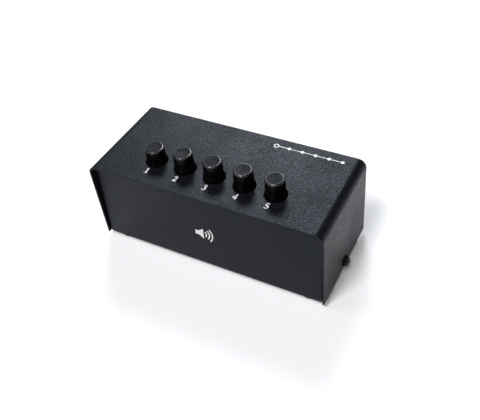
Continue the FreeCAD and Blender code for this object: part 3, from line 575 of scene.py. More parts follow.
def brick(low: tuple[float, float, float], high: tuple[float, float, float]) -> Shape:
    """A closed block between two corners.

    Args:
        low: Lowest corner in millimetres.
        high: Highest corner in millimetres.

    Returns:
        The block.
    """
    shape = bmesh.new()
    size, middle = Vector(high) - Vector(low), (Vector(high) + Vector(low)) / 2.0
    bmesh.ops.create_cube(shape, size=1.0, matrix=at(*middle) @ Matrix.Diagonal(size * MM).to_4x4())
    return shape


def copies(shape: Shape, places: Iterable[Matrix]) -> Shape:
    """Sets copies of a shape at several places and frees it."""
    made = [moved(shape.copy(), place) for place in places]
    shape.free()
    return joined(made)


def thread(crest: float, root: float, start: float, end: float, pitch: float) -> list[tuple[float, float]]:
    """Points of a threaded rod's side, from one height to another.

    Args:
        crest: Outer radius in millimetres.
        root: Radius at the bottom of the grooves.
        start: Height of the first point.
        end: Height of the last point.
        pitch: Distance from one groove to the next.

    Returns:
        (radius, height) points.
    """
    turns = round(abs(end - start) / pitch)
    step = (end - start) / turns
    points = []
    for n in range(turns):
        foot = start + step * n
        points += [(crest, foot), (crest, foot + THREAD_CREST * step), (root, foot + THREAD_ROOT * step),
                   (root, foot + THREAD_RISE * step)]
    return points + [(crest, end)]


def joined(shapes: Iterable[Shape]) -> Shape:
    """Puts several shapes into one and frees them."""
    whole = bmesh.new()
    for shape in shapes:
        mesh = bpy.data.meshes.new("part")
        shape.to_mesh(mesh)
        shape.free()
        whole.from_mesh(mesh)
        bpy.data.meshes.remove(mesh)
    return whole


def cut_with(shape: Shape, tool: Shape,
             operation: str = "DIFFERENCE") -> Shape:
    """Cuts one closed shape with another, or joins them.

    Args:
        shape: The shape, which is freed.
        tool: The tool's shape, which is freed.
        operation: DIFFERENCE to cut, UNION to join.

    Returns:
        The new shape.
    """
    held = []
    for each in (shape, tool):
        mesh = bpy.data.meshes.new("bench")
        each.to_mesh(mesh)
        each.free()
        held.append(bpy.data.objects.new("bench", mesh))
        bpy.context.scene.collection.objects.link(held[-1])
    cut = held[0].modifiers.new("cut", "BOOLEAN")
    cut.operation = operation
    cut.solver = "EXACT"
    cut.object = held[1]
    bpy.context.view_layer.update()
    result = bmesh.new()
    result.from_object(held[0], bpy.context.evaluated_depsgraph_get())
    for each in held:
        mesh = each.data
        bpy.data.objects.remove(each)
        bpy.data.meshes.remove(mesh)
    bmesh.ops.remove_doubles(result, verts=result.verts[:], dist=0.0005 * MM)
    result.normal_update()
    return result


def as_piece(name: str, shape: Shape, materials: Sequence[Material],
             smooth_below: float = 40.0, flat_faces: bool = False) -> bpy.types.Object:
    """Makes a finished piece from a shape.

    Args:
        name: Name of the piece.
        shape: Its shape, which is freed.
        materials: Its finishes, in the order of its faces' indices.
        smooth_below: Angle in degrees below which two faces blend in the shading.
        flat_faces: Whether its large faces keep their own shading up to their edges.

    Returns:
        The piece, at the origin.
    """
    shape.normal_update()
    limit = math.radians(smooth_below)
    for face in shape.faces:
        face.smooth = True
    for edge in shape.edges:
        edge.smooth = edge.is_manifold and edge.calc_face_angle(math.pi) < limit
    mesh = bpy.data.meshes.new(name)
    shape.to_mesh(mesh)
    shape.free()
    for material in materials:
        mesh.materials.append(material)
    piece = bpy.data.objects.new(name, mesh)
    bpy.context.scene.collection.objects.link(piece)
    if flat_faces:
        weigh = piece.modifiers.new("flat_faces", "WEIGHTED_NORMAL")
        weigh.keep_sharp = True
        weigh.weight = 100
    LOG.info("piece %s with %d faces", name, len(mesh.polygons))
    return piece


def filled(outlines: Sequence[str]) -> Shape:
    """A flat shape inside drawn outlines.

    Args:
        outlines: Closed outlines, each a row of x,y points in hundredths. A point with ~ before it is smooth,
            the others are corners. An outline inside another is a hole.

    Returns:
        The flat shape.
    """
    curve = bpy.data.curves.new("drawing", "CURVE")
    curve.dimensions = "2D"
    curve.fill_mode = "BOTH"
    curve.resolution_u = 6
    for outline in outlines:
        words = outline.split()
        spline = curve.splines.new("BEZIER")
        spline.bezier_points.add(len(words) - 1)
        spline.use_cyclic_u = True
        for point, word in zip(spline.bezier_points, words):
            x, y = (int(part) / 100.0 for part in word.lstrip("~").split(","))
            point.co = (x, y, 0.0)
            handle = "AUTO" if word.startswith("~") else "VECTOR"
            point.handle_left_type = point.handle_right_type = handle
    drawing = bpy.data.objects.new("drawing", curve)
    bpy.context.scene.collection.objects.link(drawing)
    bpy.context.view_layer.update()
    mesh = bpy.data.meshes.new_from_object(drawing.evaluated_get(bpy.context.evaluated_depsgraph_get()))
    shape = bmesh.new()
    shape.from_mesh(mesh)
    bpy.data.objects.remove(drawing)
    bpy.data.curves.remove(curve)
    bpy.data.meshes.remove(mesh)
    return shape


def band(inner: float, outer: float, sweep: float, start: float, centre: Vector) -> Shape:
    """A flat band round a centre.

    Args:
        inner: Inner radius in millimetres.
        outer: Outer radius in millimetres.
        sweep: Degrees that it covers.
        start: Degrees at which it starts, from X.
        centre: Centre in millimetres.

    Returns:
        The flat band.
    """
    shape = bmesh.new()
    ends = [shape.verts.new(turn(start, "Z") @ Vector((radius, 0.0, 0.0)) * MM) for radius in (inner, outer)]
    edge = shape.edges.new(ends)
    bmesh.ops.spin(shape, geom=ends + [edge], cent=(0.0, 0.0, 0.0), axis=(0.0, 0.0, 1.0),
                   angle=math.radians(sweep), steps=max(8, round(sweep / 7.5)), use_merge=sweep >= 360.0)
    bmesh.ops.translate(shape, verts=shape.verts[:], vec=centre * MM)
    return shape


def disc(radius: float, centre: Vector) -> Shape:
    """A flat disc about a centre, in millimetres."""
    shape = bmesh.new()
    bmesh.ops.create_circle(shape, cap_ends=True, radius=radius * MM, segments=40,
                            matrix=Matrix.Translation(centre * MM))
    return shape


def strip(low: Vector, high: Vector) -> Shape:
    """A flat rectangle between two corners, in millimetres."""
    shape = bmesh.new()
    bmesh.ops.create_grid(shape, x_segments=1, y_segments=1, size=0.5)
    bmesh.ops.scale(shape, verts=shape.verts[:], vec=Vector((*(high - low).xy, 1.0)) * MM)
    bmesh.ops.translate(shape, verts=shape.verts[:], vec=(low + high) * (MM / 2.0))
    return shape


# Outlines in hundredths of a numeral's height. A point with ~ before it is smooth, the others are corners.
NUMERALS = {
    "1": [
        "10,84 36,100 44,100 44,11 49,6 60,5 60,0 6,0 6,5 18,6 23,11 23,80 19,84 10,80",
    ],
    "2": [
        "2,0 55,0 62,27 57,27 50,18 24,18 ~42,36 ~55,54 ~58,72 ~50,92 ~30,100 ~11,91 3,70 8,69 "
        "~15,80 ~25,84 ~34,79 ~37,66 ~29,44 2,6",
    ],
    "3": [
        "6,77 ~14,92 ~31,100 ~50,93 ~57,77 ~51,63 42,56 ~57,46 ~61,29 ~51,8 ~26,-1 ~7,3 ~2,12 ~10,19 "
        "~21,13 ~31,8 ~38,14 ~40,27 ~34,41 17,48 17,52 ~31,60 ~35,74 ~31,84 ~22,87 11,75",
    ],
    "4": [
        "35,0 55,0 55,23 64,23 64,38 55,38 55,100 43,100 0,37 0,23 35,23",
        "8,38 35,38 35,77",
    ],
    "5": [
        "15,100 57,100 51,83 19,83 16,73 ~37,66 ~55,53 ~61,33 ~51,10 ~27,-1 ~8,2 ~2,11 ~9,18 ~20,13 "
        "~30,8 ~39,15 ~41,27 ~32,41 5,50",
    ],
}


# ---------------------------------------------------------------- sub-assemblies
@dataclass
class PanScrew:
    """A pan-head screw with a tapered cross recess. Sizes are in millimetres."""

    head: float = 3.5
    height: float = 3.0
    rim: float = 1.5
    rim_round: float = 0.5
    shank: float = 1.75
    root: float = 1.42
    length: float = 6.0
    pitch: float = 0.6
    cross_span: float = 3.9
    cross_width: float = 1.0
    cross_depth: float = 1.95
    cross_taper: float = 0.62
    tip: float = 0.3
    collar: float = 0.4
    chamfer: float = 0.1
    overcut: float = 0.3
    crown_steps: int = 7
    steps: int = ROUND_STEPS

    def outline(self) -> list[tuple[float, float]]:
        """The screw's section from the tip up to the middle of its crown."""
        drop = self.height - self.rim
        crown = (self.head ** 2 + drop ** 2) / (2.0 * drop)
        arc = []
        for n in range(self.crown_steps + 1):
            radius = self.head * (1.0 - n / self.crown_steps)
            arc.append((radius, self.height - crown + math.sqrt(crown ** 2 - radius ** 2)))
        tip = [(0.0, -self.length), (self.root, -self.length)]
        side = thread(self.shank, self.root, self.tip - self.length, -self.collar, self.pitch)
        under = [(self.shank, 0.0), (self.head - self.chamfer, 0.0), (self.head, self.chamfer)]
        return tip + side + under + arc

    def wing(self, degrees: float) -> Shape:
        """One wing of the cross, narrower at its bottom."""
        span, width = self.cross_span / 2.0, self.cross_width / 2.0
        low = self.height - self.cross_depth
        shape = brick((-span, -width, low), (span, width, self.height + self.overcut))
        for vert in shape.verts:
            if vert.co.z < (low + 0.01) * MM:
                vert.co.x *= self.cross_taper
                vert.co.y *= self.cross_taper
        return moved(shape, turn(degrees, "Z"))

    def shape(self) -> Shape:
        """The screw along Z, its head above the origin."""
        shape = turned(self.outline(), self.steps)
        ring = [edge for edge in sharp_edges(shape, 20.0)
                if all(abs(vert.co.z - self.rim * MM) < 1e-6 for vert in edge.verts)]
        break_edges(shape, ring, self.rim_round, 4)
        for degrees in (0.0, 90.0):
            shape = cut_with(shape, self.wing(degrees))
        return shape


@dataclass
class Cover:
    """The folded steel cover with its two side screws. Sizes are in millimetres."""

    finishes: FinishRack
    width: float = 155.0
    depth: float = 67.0
    low: float = 3.1
    top: float = COVER_TOP
    sheet: float = 1.2
    bend: float = 5.5
    bend_steps: int = 14
    edge: float = 0.22
    hole: float = 6.9
    screw_z: float = 7.0
    screw_hole: float = 1.95
    drill: float = 6.0
    screw: PanScrew = field(default_factory=PanScrew)

    def folded(self) -> Shape:
        """Folds the outer skin: a block's top and ends, with its long top edges rounded."""
        shape = bmesh.new()
        height = self.top - self.low
        size = Matrix.Diagonal(Vector((self.width, self.depth, height)) * MM).to_4x4()
        bmesh.ops.create_cube(shape, size=1.0, matrix=at(0.0, 0.0, self.low + height / 2.0) @ size)
        shape.normal_update()
        dropped = [face for face in shape.faces if abs(face.normal.y) > 0.5 or face.normal.z < -0.5]
        bmesh.ops.delete(shape, geom=dropped, context="FACES")
        folds = [edge for edge in shape.edges if edge.is_manifold]
        break_edges(shape, folds, self.bend, self.bend_steps)
        shape.normal_update()
        return shape

    def holes(self) -> Shape:
        """The drills for the button holes and the two screw holes."""
        drills = [rod(self.hole, self.drill, at(button_x(number), BUTTON_ROW_Y, self.top), WIDE_STEPS)
                  for number in BUTTONS]
        drills += [rod(self.screw_hole, self.drill, self.screw_place(side), DRILL_STEPS) for side in SIDES]
        return joined(drills)

    def screw_place(self, side: float) -> Matrix:
        """Where a side wall's screw stands, its head outwards."""
        return at(side * self.width / 2.0, 0.0, self.screw_z) @ turn(side * 90.0, "Y")

    def build(self) -> None:
        """Builds the cover and its screws."""
        shape = self.folded()
        bmesh.ops.solidify(shape, geom=shape.faces[:], thickness=self.sheet * MM)
        shape = cut_with(faced_out(shape), self.holes())
        break_edges(shape, sharp_edges(shape, 60.0), self.edge, 2)
        cover = as_piece("cover_shell", shape, [self.finishes["cover_paint"]], 50.0, True)
        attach(cover, BOX_BODY)
        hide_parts("top_cover")
        pair = copies(self.screw.shape(), [self.screw_place(side) for side in SIDES])
        screws = as_piece("wall_screws", pair, [self.finishes["black_screw"]], 35.0)
        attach(screws, BOX_BODY)
        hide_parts("cover_screws")


@dataclass
class Chassis:
    """The folded chassis, its feet and what stands on its floor. Sizes are in millimetres."""

    finishes: FinishRack
    foot: float = 5.0
    tread: float = 4.9
    foot_height: float = 2.5
    foot_round: float = 0.12
    foot_x: float = 65.5
    foot_rows: tuple[float, float] = (-25.5, 22.0)
    dimple: tuple[tuple[float, float], ...] = ((0.0, 0.35), (2.2, 0.30), (3.0, 0.0))

    def feet(self) -> None:
        """Builds the four stick-on feet, with rounded treads and a shallow dimple in each."""
        shape = turned([*self.dimple, (self.tread, 0.0), (self.foot, self.foot_height),
                        (0.0, self.foot_height)], ROUND_STEPS)
        rims = [edge for edge in sharp_edges(shape, 35.0)
                if all(vert.co.z < 0.01 * MM and vert.co.xy.length > (self.tread - 0.1) * MM
                       for vert in edge.verts)]
        break_edges(shape, rims, self.foot_round, 4)
        places = [at(side * self.foot_x, y, 0.0) for side in SIDES for y in self.foot_rows]
        feet = as_piece("stick_on_feet", copies(shape, places), [self.finishes["foot_rubber"]], 35.0)
        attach(feet, BOX_BODY)
        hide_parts("rubber_feet")

    def build(self) -> None:
        """Builds the feet and dresses the chassis, pillars, board and their screws."""
        self.feet()
        worn_by = {
            "base_chassis": "chassis_paint",
            "main_board": "board_laminate",
            "board_standoffs": "pillar_brass",
            "board_screws": "zinc_steel",
            "floor_screws": "zinc_steel",
        }
        for node, finish in worn_by.items():
            self.finishes.coat(node, finish)


@dataclass
class PushCap:
    """One moulded push cap. Sizes are in millimetres, heights counted from the cover's top face."""

    skirt: float = 6.55
    waist: float = 6.05
    rim: float = 5.75
    rise: float = 12.0
    sink: float = 3.0
    band: float = 1.5
    flare_top: float = 4.0
    dish: float = 0.35
    rim_round: float = 0.85
    roof: float = 2.5
    wall: float = 1.2
    boss: float = 3.8
    boss_lift: float = 2.0
    mouth_round: float = 0.25
    lip: float = 0.02
    flare: tuple[tuple[float, float], ...] = ((0.0, 0.0), (0.08, 0.9), (0.25, 1.7))
    face_depth: float = 0.5
    dish_steps: int = 8
    round_steps: int = 6
    steps: int = WIDE_STEPS

    def flat(self) -> float:
        """Radius of the dished face inside the rounded rim."""
        return self.rim - self.rim_round - 0.01

    def outline(self) -> list[tuple[float, float]]:
        """The cap's section, from the dish's middle out and down, and back inside to the boss."""
        shares = [n / self.dish_steps for n in range(self.dish_steps)]
        dish = [(self.flat() * share, self.rise - self.dish * (1.0 - share ** 2)) for share in shares]
        inner = self.rim - self.wall
        return dish + [
            (self.flat(), self.rise - self.lip),
            (self.rim, self.rise - self.lip),
            *((self.waist + out, self.flare_top - down) for out, down in self.flare),
            (self.skirt, self.band),
            (self.skirt, -self.sink),
            (inner, -self.sink),
            (inner, self.rise - self.roof),
            (self.boss, self.rise - self.roof),
            (self.boss, self.boss_lift - self.sink),
            (0.0, self.boss_lift - self.sink),
        ]

    def shape(self) -> Shape:
        """The cap about the Z axis, rim and mouth rounded, face and side marked for their finishes: a lighter
        face and a darker side, painted light and shade on one black plastic.
        """
        shape = turned(self.outline(), self.steps)
        rounds = {self.rise - self.lip: self.rim_round, -self.sink: self.mouth_round}
        for height, radius in rounds.items():
            ring = [edge for edge in shape.edges
                    if all(abs(vert.co.z - height * MM) < 1e-6 for vert in edge.verts)
                    and all(vert.co.xy.length > (self.rim - 0.05) * MM for vert in edge.verts)
                    and edge.calc_face_angle(0.0) > 0.5]
            break_edges(shape, ring, radius, self.round_steps)
        # The face takes the lighter, bluish copy of the cap plastic and the side the darker one: painted
        # light and shade.
        for face in shape.faces:
            middle = face.calc_center_median()
            if middle.z > (self.rise - self.face_depth) * MM and middle.xy.length < self.flat() * MM:
                face.material_index = 1
            elif middle.z < (self.rise - self.rim_round) * MM:
                face.material_index = 2
        return shape


@dataclass
class CoilSpring:
    """The return spring round one stem. Sizes are in millimetres."""

    wire: float = 0.5
    turns: int = 6
    steps: int = 24
    section: int = 10

    def shape(self, low: Vector, high: Vector) -> Shape:
        """The coil that fills a box.

        Args:
            low: Lowest corner of the box, in metres.
            high: Highest corner of the box, in metres.

        Returns:
            The coil, with both ends of its wire closed.
        """
        wire, middle = self.wire * MM, (low + high) / 2.0
        start = Matrix.Translation(Vector((high.x - wire / 2.0, middle.y, low.z + wire / 2.0)))
        steps = self.turns * self.steps
        shape = bmesh.new()
        bmesh.ops.create_circle(shape, segments=self.section, radius=wire / 2.0,
                                matrix=start @ turn(90.0, "X"))
        bmesh.ops.spin(shape, geom=shape.verts[:] + shape.edges[:], cent=middle, axis=(0.0, 0.0, 1.0),
                       dvec=(0.0, 0.0, (high.z - low.z - wire) / steps), angle=math.tau * self.turns,
                       steps=steps, use_merge=False, use_duplicate=False)
        ends = [edge for edge in shape.edges if edge.is_boundary]
        bmesh.ops.holes_fill(shape, edges=ends, sides=self.section)
        return faced_out(shape)


@dataclass
class ButtonBank:
    """The row of five interlocked push switches with caps, springs and latch. Sizes in millimetres."""

    finishes: FinishRack
    cap: PushCap = field(default_factory=PushCap)
    coil: CoilSpring = field(default_factory=CoilSpring)
    latched: int = 1
    latched_depth: float = 1.8

    def spring(self, number: int) -> None:
        """Winds one return spring, which is squeezed between the switch and its button."""
        low, high = (Vector(corner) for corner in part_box(f"return_spring_{number}"))
        spring = as_piece(f"stem_spring_{number}", self.coil.shape(low, high),
                          [self.finishes["spring_steel"]], 60.0)
        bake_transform(spring)
        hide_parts(f"return_spring_{number}")

    def build(self) -> None:
        """Builds the caps and springs and dresses the switches below them."""
        for number in BUTTONS:
            push = self.latched_depth if number == self.latched else 0.0
            shape = moved(self.cap.shape(), at(button_x(number), BUTTON_ROW_Y, COVER_TOP - push))
            cap = as_piece(f"push_cap_{number}", shape,
                           [self.finishes[name] for name in ("cap_plastic", "cap_face", "cap_side")])
            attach(cap, f"button_{number}")
            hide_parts(f"button_cap_{number}")
            self.finishes.coat(f"plunger_{number}", "plunger_plastic")
            self.finishes.coat(f"contact_clips_{number}", "contact_metal")
            self.finishes.coat(f"switch_body_{number}", "switch_plastic")
            self.spring(number)
        worn_by = {
            "switch_frame": "zinc_steel",
            "frame_screws": "zinc_steel",
            "frame_nuts": "zinc_steel",
            "latch_bar": "zinc_steel",
            "latch_spring": "spring_steel",
            "switch_bases": "switch_plastic",
            "switch_terminals": "contact_metal",
        }
        for node, finish in worn_by.items():
            self.finishes.coat(node, finish)


@dataclass
class JackRow:
    """The six 3.5 mm jacks on the back panel. Sizes are in millimetres, heights from the jack's own axis."""

    finishes: FinishRack
    axis_z: float = 33.0
    under: float = -4.8
    height: float = 9.2
    width: float = 9.0
    back: float = 15.45
    face: float = 27.45
    mouth: float = 32.45
    neck: float = 3.0
    root: float = 2.78
    pitch: float = 0.6
    bore: float = 1.8
    bore_length: float = 8.0
    chamber: tuple[float, float] = (6.0, 5.6)
    back_wall: float = 1.0
    edge: float = 0.35
    neck_sink: float = 0.4
    chamfer: tuple[float, float] = (0.3, 0.35)
    flare: float = 0.22
    overcut: float = 0.5
    leaf_slots: tuple[tuple[float, float, float, float, float], ...] = (
        (-2.2, 17.45, 0.2, 0.45, 0.0),
        (2.2, 17.45, 0.2, 0.45, 0.0),
        (0.0, 25.25, 0.45, 0.2, -2.3),
    )
    xs: tuple[float, ...] = (-40.0, -20.0, 0.0, 20.0, 40.0, 60.0)
    names: tuple[str, ...] = ("1", "2", "3", "4", "5", "common")

    def neck_shape(self) -> Shape:
        """The threaded neck, its axis along Y and its mouth chamfered."""
        start, (inwards, down) = self.face - self.neck_sink, self.chamfer
        side = thread(self.neck, self.root, start, self.mouth - down, self.pitch)
        outline = [(0.0, start)] + side + [(self.neck - inwards, self.mouth), (0.0, self.mouth)]
        return moved(turned(outline, ROUND_STEPS), turn(-90.0, "X"))

    def hollows(self) -> list[Shape]:
        """The bore with its flared mouth, the chamber behind it and the slots for the contacts."""
        inner = self.mouth - self.bore_length
        start, end, flare = inner - self.overcut, self.mouth + self.overcut, self.bore + self.flare
        outline = [(0.0, start), (self.bore, start), (self.bore, self.mouth - self.flare),
                   (flare, self.mouth), (flare, end), (0.0, end)]
        bore = moved(turned(outline, ROUND_STEPS), turn(-90.0, "X"))
        half_x, half_z = self.chamber[0] / 2.0, self.chamber[1] / 2.0
        chamber = brick((-half_x, self.back + self.back_wall, -half_z), (half_x, inner, half_z))
        slots = [brick((x - across, y - along, self.under - 1.0), (x + across, y + along, top))
                 for x, y, across, along, top in self.leaf_slots]
        return [chamber, bore] + slots

    def body(self) -> Shape:
        """One jack about x = 0, its axis at z = 0."""
        half = self.width / 2.0
        shape = brick((-half, self.back, self.under), (half, self.face, self.under + self.height))
        break_edges(shape, shape.edges[:], self.edge, 3)
        shape = cut_with(shape, self.neck_shape(), "UNION")
        for hollow in self.hollows():
            shape = cut_with(shape, hollow)
        return shape

    def build(self) -> None:
        """Builds the jacks' bodies and dresses their contacts and nuts."""
        pattern = self.body()
        for name, x in zip(self.names, self.xs):
            shape = moved(pattern.copy(), at(x, 0.0, self.axis_z))
            jack = as_piece(f"jack_shell_{name}", shape, [self.finishes["jack_plastic"]], 35.0, True)
            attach(jack, BOX_BODY)
            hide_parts(f"jack_body_{name}")
        pattern.free()
        self.finishes.coat("jack_contacts", "contact_metal")
        self.finishes.coat("jack_nuts", "nut_nickel")


@dataclass
class Printing:
    """Pad-printed numbers and marks on the box. Sizes are in millimetres."""

    finishes: FinishRack
    ink: float = 0.03
    sunk: float = 0.02
    number_height: float = 4.5
    number_y: float = -22.9
    number_shift: float = -0.6
    jack_number_height: float = 3.4
    jack_number_y: float = 39.1
    common_x: float = 60.0
    dot_pitch: float = 8.6
    line_start: tuple[float, float] = (22.0, 26.5)
    ring: tuple[float, float] = (1.05, 1.75)
    dot: float = 1.15
    line: float = 0.25
    dots: int = 5
    sign_height: float = 26.6
    wave_radii: tuple[float, ...] = (2.4, 4.5, 6.6)
    wave_width: float = 0.85
    wave_sweep: float = 86.0
    wave_centre: float = -2.2
    front_foot_y: float = -32.3
    front_lean: float = 2.9
    back_y: float = 28.5
    panel_foot_z: float = 2.5

    def plane(self, face: PrintFace) -> Matrix:
        """The place of a printed face: X runs along the reading line, Z out of the face."""
        if face is PrintFace.TOP:
            return at(0.0, 0.0, COVER_TOP)
        if face is PrintFace.FRONT:
            return at(0.0, self.front_foot_y, self.panel_foot_z) @ turn(90.0 - self.front_lean, "X")
        return at(0.0, self.back_y, self.panel_foot_z) @ turn(180.0, "Z") @ turn(90.0, "X")

    def stamp(self, name: str, shape: Shape, face: PrintFace) -> bpy.types.Object:
        """Lays a flat shape on a face as a thin film of ink.

        Args:
            name: Name of the print.
            shape: Flat shape in the face's own plane, looking up Z.
            face: The face that it is printed on.

        Returns:
            The printed piece.
        """
        for item in faced_out(shape).faces:
            if item.normal.z < 0.0:
                item.normal_flip()
        top = bmesh.ops.extrude_face_region(shape, geom=shape.faces[:])
        raised = [part for part in top["geom"] if isinstance(part, bmesh.types.BMVert)]
        bmesh.ops.translate(shape, verts=raised, vec=Vector((0.0, 0.0, (self.ink + self.sunk) * MM)))
        film = faced_out(moved(shape, self.plane(face) @ at(0.0, 0.0, -self.sunk)))
        piece = as_piece(name, film, [self.finishes["white_ink"]])
        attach(piece, BOX_BODY)
        return piece

    def numeral(self, digit: str, height: float, x: float, y: float) -> Shape:
        """A numeral set round a point.

        Args:
            digit: The numeral.
            height: Its height in millimetres.
            x: Its middle on the face.
            y: Its middle on the face.

        Returns:
            The flat numeral.
        """
        middle = Matrix.Translation(-Vector((*NUMERAL_MIDDLE, 0.0)))
        return moved(filled(NUMERALS[digit]), at(x, y, 0.0) @ Matrix.Scale(height * MM, 4) @ middle)

    def selector_line(self) -> Shape:
        """A switching diagram: a ring, a line and five dots along it."""
        ring = band(*self.ring, 360.0, 0.0, Vector())
        xs = [n * self.dot_pitch for n in range(1, self.dots + 1)]
        dots = [disc(self.dot, Vector((x, 0.0, 0.0))) for x in xs]
        starts = [self.ring[1]] + [x + self.dot for x in xs[:-1]]
        links = [strip(Vector((start, -self.line, 0.0)), Vector((end - self.dot, self.line, 0.0)))
                 for start, end in zip(starts, xs)]
        return joined([ring] + dots + links)

    def loudspeaker(self) -> Shape:
        """The common sign for sound: a small loudspeaker with three arcs."""
        horn = filled(["-700,-160 -460,-160 -140,-420 -140,420 -460,160 -700,160"])
        centre = Vector((self.wave_centre, 0.0, 0.0))
        waves = [band(radius, radius + self.wave_width, self.wave_sweep, -self.wave_sweep / 2.0, centre)
                 for radius in self.wave_radii]
        return joined([moved(horn, Matrix.Scale(MM, 4))] + waves)

    def build(self) -> None:
        """Prints the numbers of the buttons and jacks, the diagram and the sound sign."""
        for number in BUTTONS:
            x, digit = button_x(number), str(number)
            top = self.numeral(digit, self.number_height, x + self.number_shift, self.number_y)
            self.stamp(f"button_number_{number}", top, PrintFace.TOP)
            back = self.numeral(digit, self.jack_number_height, -x, self.jack_number_y)
            self.stamp(f"jack_number_{number}", back, PrintFace.BACK)
        diagram = moved(self.selector_line(), at(*self.line_start, 0.0))
        self.stamp("selector_diagram", diagram, PrintFace.TOP)
        sign = moved(self.loudspeaker(), at(0.0, self.sign_height, 0.0))
        self.stamp("sound_sign", sign, PrintFace.FRONT)
        place = at(-self.common_x, self.jack_number_y, 0.0) @ Matrix.Scale(MM, 4)
        self.stamp("input_arrow", moved(filled(["-150,160 0,-160 150,160"]), place), PrintFace.BACK)


# ---------------------------------------------------------------- studio
@dataclass
class ProductCamera:
    """The camera that looks down on the box from its right front."""

    width: int = 480
    height: int = 420
    focal: float = 653.3
    centre_x: float = 256.9
    centre_y: float = 181.6
    sensor: float = 36.0
    azimuth: float = 30.38
    elevation: float = 42.22
    roll: float = -5.72
    position: tuple[float, float, float] = (166.5, -248.0, 313.9)
    clip: tuple[float, float] = (0.01, 50.0)

    def build(self) -> None:
        """Places the camera."""
        data = bpy.data.cameras.new("product_camera")
        data.sensor_width = self.sensor
        data.lens = self.focal / self.width * self.sensor
        data.shift_x = (self.width / 2.0 - self.centre_x) / self.width
        data.shift_y = (self.centre_y - self.height / 2.0) / self.width
        data.clip_start, data.clip_end = self.clip
        camera = bpy.data.objects.new("product_camera", data)
        side, rise, roll = (math.radians(v) for v in (self.azimuth, self.elevation, self.roll))
        back = Vector((math.sin(side) * math.cos(rise), -math.cos(side) * math.cos(rise), math.sin(rise)))
        right = (-back).cross(Vector((0.0, 0.0, 1.0))).normalized()
        up = right.cross(-back)
        across = right * math.cos(roll) + up * math.sin(roll)
        upward = up * math.cos(roll) - right * math.sin(roll)
        facing = Matrix((across, upward, back)).transposed().to_4x4()
        camera.matrix_world = at(*self.position) @ facing
        bpy.context.scene.collection.objects.link(camera)
        bpy.context.scene.camera = camera


def heading(compass: float, elevation: float) -> Vector:
    """The direction towards a place in the sky.

    Args:
        compass: Degrees clockwise from straight behind the box, seen from above.
        elevation: Degrees above the floor.

    Returns:
        A direction of length one.
    """
    side, rise = math.radians(compass), math.radians(elevation)
    return Vector((math.sin(side) * math.cos(rise), math.cos(side) * math.cos(rise), math.sin(rise)))


@dataclass(frozen=True)
class Glow:
    """A soft patch of the studio's ceiling, full inside one angle and faded out at another."""

    compass: float
    elevation: float
    strength: float
    outer: float
    inner: float


@dataclass
class SoftLight:
    """A large soft lamp far away, seen as a disc in the sky."""

    name: str
    compass: float
    elevation: float
    strength: float
    spread: float

    def build(self) -> None:
        """Hangs the lamp."""
        data = bpy.data.lights.new(self.name, "SUN")
        data.energy = self.strength
        data.angle = math.radians(self.spread)
        lamp = bpy.data.objects.new(self.name, data)
        towards = heading(self.compass, self.elevation)
        lamp.rotation_euler = towards.to_track_quat("Z", "Y").to_euler()
        lamp.location = towards
        bpy.context.scene.collection.objects.link(lamp)


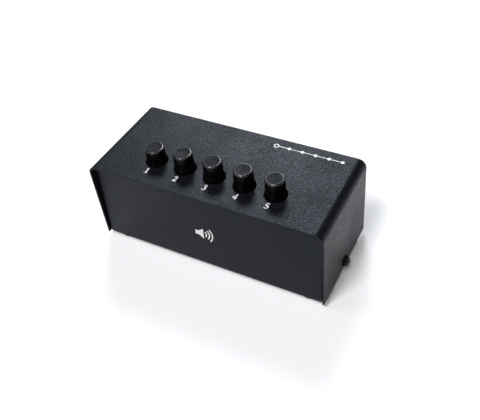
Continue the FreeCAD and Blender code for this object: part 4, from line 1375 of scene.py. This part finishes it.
@dataclass
class Studio:
    """A pale sweep under soft lamps."""

    floor_radius: float = 6.0
    floor_steps: int = 96
    floor_gloss: float = 0.9
    fibre: float = 1.2 * MM
    floor_colour: Colour = (0.92, 0.93, 0.95)
    lit: float = 0.15
    far_white: float = 1.0
    dark: float = 0.03
    horizon: tuple[float, float] = (0.02, 0.12)
    far_fade: tuple[float, float] = (0.45, 1.4)
    fibre_shade: float = 0.985
    sky_tint: tuple[float, float, float, float] = (0.96, 0.98, 1.0, 1.0)
    glows: tuple[Glow, ...] = (
        Glow(-27.0, 42.0, 19.0, 13.5, 3.0),
        Glow(152.0, 79.0, 4.0, 12.0, 5.0),
    )
    lamps: list[SoftLight] = field(default_factory=lambda: [
        SoftLight("key_softbox", -165.0, 60.0, 2.2, 18.0),
        SoftLight("left_softbox", -107.0, 55.0, 0.3, 20.0),
    ])

    def floor(self) -> None:
        """Lays the sweep: lit like any surface near the box, and plain white far from it."""
        shape = bmesh.new()
        bmesh.ops.create_circle(shape, cap_ends=True, radius=self.floor_radius, segments=self.floor_steps)
        piece = as_piece("studio_floor", shape, [self.floor_material()])

    def floor_material(self) -> Material:
        """The sweep's paper: pale, with a little light of its own for the eye of the camera."""
        sheet = NodeSheet("sweep_paper", self.floor_colour)
        fibre = sheet.noise(self.fibre, 2.0)
        paper = tuple(channel * self.fibre_shade for channel in self.floor_colour)
        away = sheet.add("ShaderNodeVectorMath", {0: sheet.place}, operation="LENGTH").outputs["Value"]
        far = sheet.between(away, 0.0, 1.0, *self.far_fade, smooth=True)
        path = sheet.add("ShaderNodeLightPath")
        seen = sheet.reckon("ADD", path.outputs["Is Camera Ray"], path.outputs["Is Glossy Ray"])
        seen = sheet.reckon("ADD", seen, path.outputs["Is Transmission Ray"], clamp=True)
        sheet.dress(
            Base_Color=sheet.blend(fibre, paper, self.floor_colour),
            Roughness=self.floor_gloss,
            Specular_IOR_Level=0.0,
            Emission_Color=WHITE,
            Emission_Strength=sheet.reckon("MULTIPLY", seen, self.lit),
        )
        white = sheet.add("ShaderNodeEmission", {"Color": WHITE, "Strength": self.far_white})
        shaders = {0: far, 1: sheet.shader.outputs["BSDF"], 2: white.outputs["Emission"]}
        mix = sheet.add("ShaderNodeMixShader", shaders)
        sheet.feed(sheet.tree.nodes["Material Output"].inputs["Surface"], mix.outputs["Shader"])
        return sheet.material

    def sky(self) -> None:
        """Lights the room with soft patches of sky, and shows it white behind the box."""
        world = bpy.data.worlds.new("studio_room")
        world.use_nodes = True
        room = NodeBench(world.node_tree)
        room.tree.nodes.clear()
        towards = room.add("ShaderNodeTexCoord").outputs["Generated"]
        glow = self.dark
        for patch in self.glows:
            sockets = {0: towards, 1: heading(patch.compass, patch.elevation)}
            facing = room.add("ShaderNodeVectorMath", sockets, operation="DOT_PRODUCT").outputs["Value"]
            outer, inner = (math.cos(math.radians(angle)) for angle in (patch.outer, patch.inner))
            shine = room.between(facing, 0.0, patch.strength, outer, inner, smooth=True)
            glow = room.reckon("ADD", glow, shine)
        path = room.add("ShaderNodeLightPath")
        height = room.add("ShaderNodeSeparateXYZ", {0: towards}).outputs["Z"]
        low = room.between(height, 1.0, 0.0, *self.horizon)
        mirrored = room.reckon("ADD", path.outputs["Is Glossy Ray"], path.outputs["Is Transmission Ray"],
                               clamp=True)
        mirrored = room.reckon("MULTIPLY", mirrored, low)
        white = room.reckon("ADD", path.outputs["Is Camera Ray"], mirrored, clamp=True)
        lit = room.add("ShaderNodeBackground", {"Color": self.sky_tint, "Strength": glow})
        shown = room.add("ShaderNodeBackground", {"Color": WHITE, "Strength": 1.0})
        shaders = {0: white, 1: lit.outputs["Background"], 2: shown.outputs["Background"]}
        mix = room.add("ShaderNodeMixShader", shaders)
        room.add("ShaderNodeOutputWorld", {"Surface": mix.outputs["Shader"]})
        bpy.context.scene.world = world

    def build(self) -> None:
        """Sets up the sweep, the room's light, the lamps and plain colour handling."""
        self.floor()
        self.sky()
        for lamp in self.lamps:
            lamp.build()
        bpy.context.scene.view_settings.view_transform = "Standard"


def main() -> None:
    """Builds the studio and the selector."""
    logging.basicConfig(level=logging.INFO, format="%(name)s: %(message)s")
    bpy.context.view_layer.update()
    ProductCamera().build()
    Studio().build()
    finishes = FinishRack()
    for kind in (Cover, Chassis, ButtonBank, JackRow, Printing):
        kind(finishes).build()
        LOG.info("%s is dressed", kind.__name__)


if __name__ == "__main__":
    main()
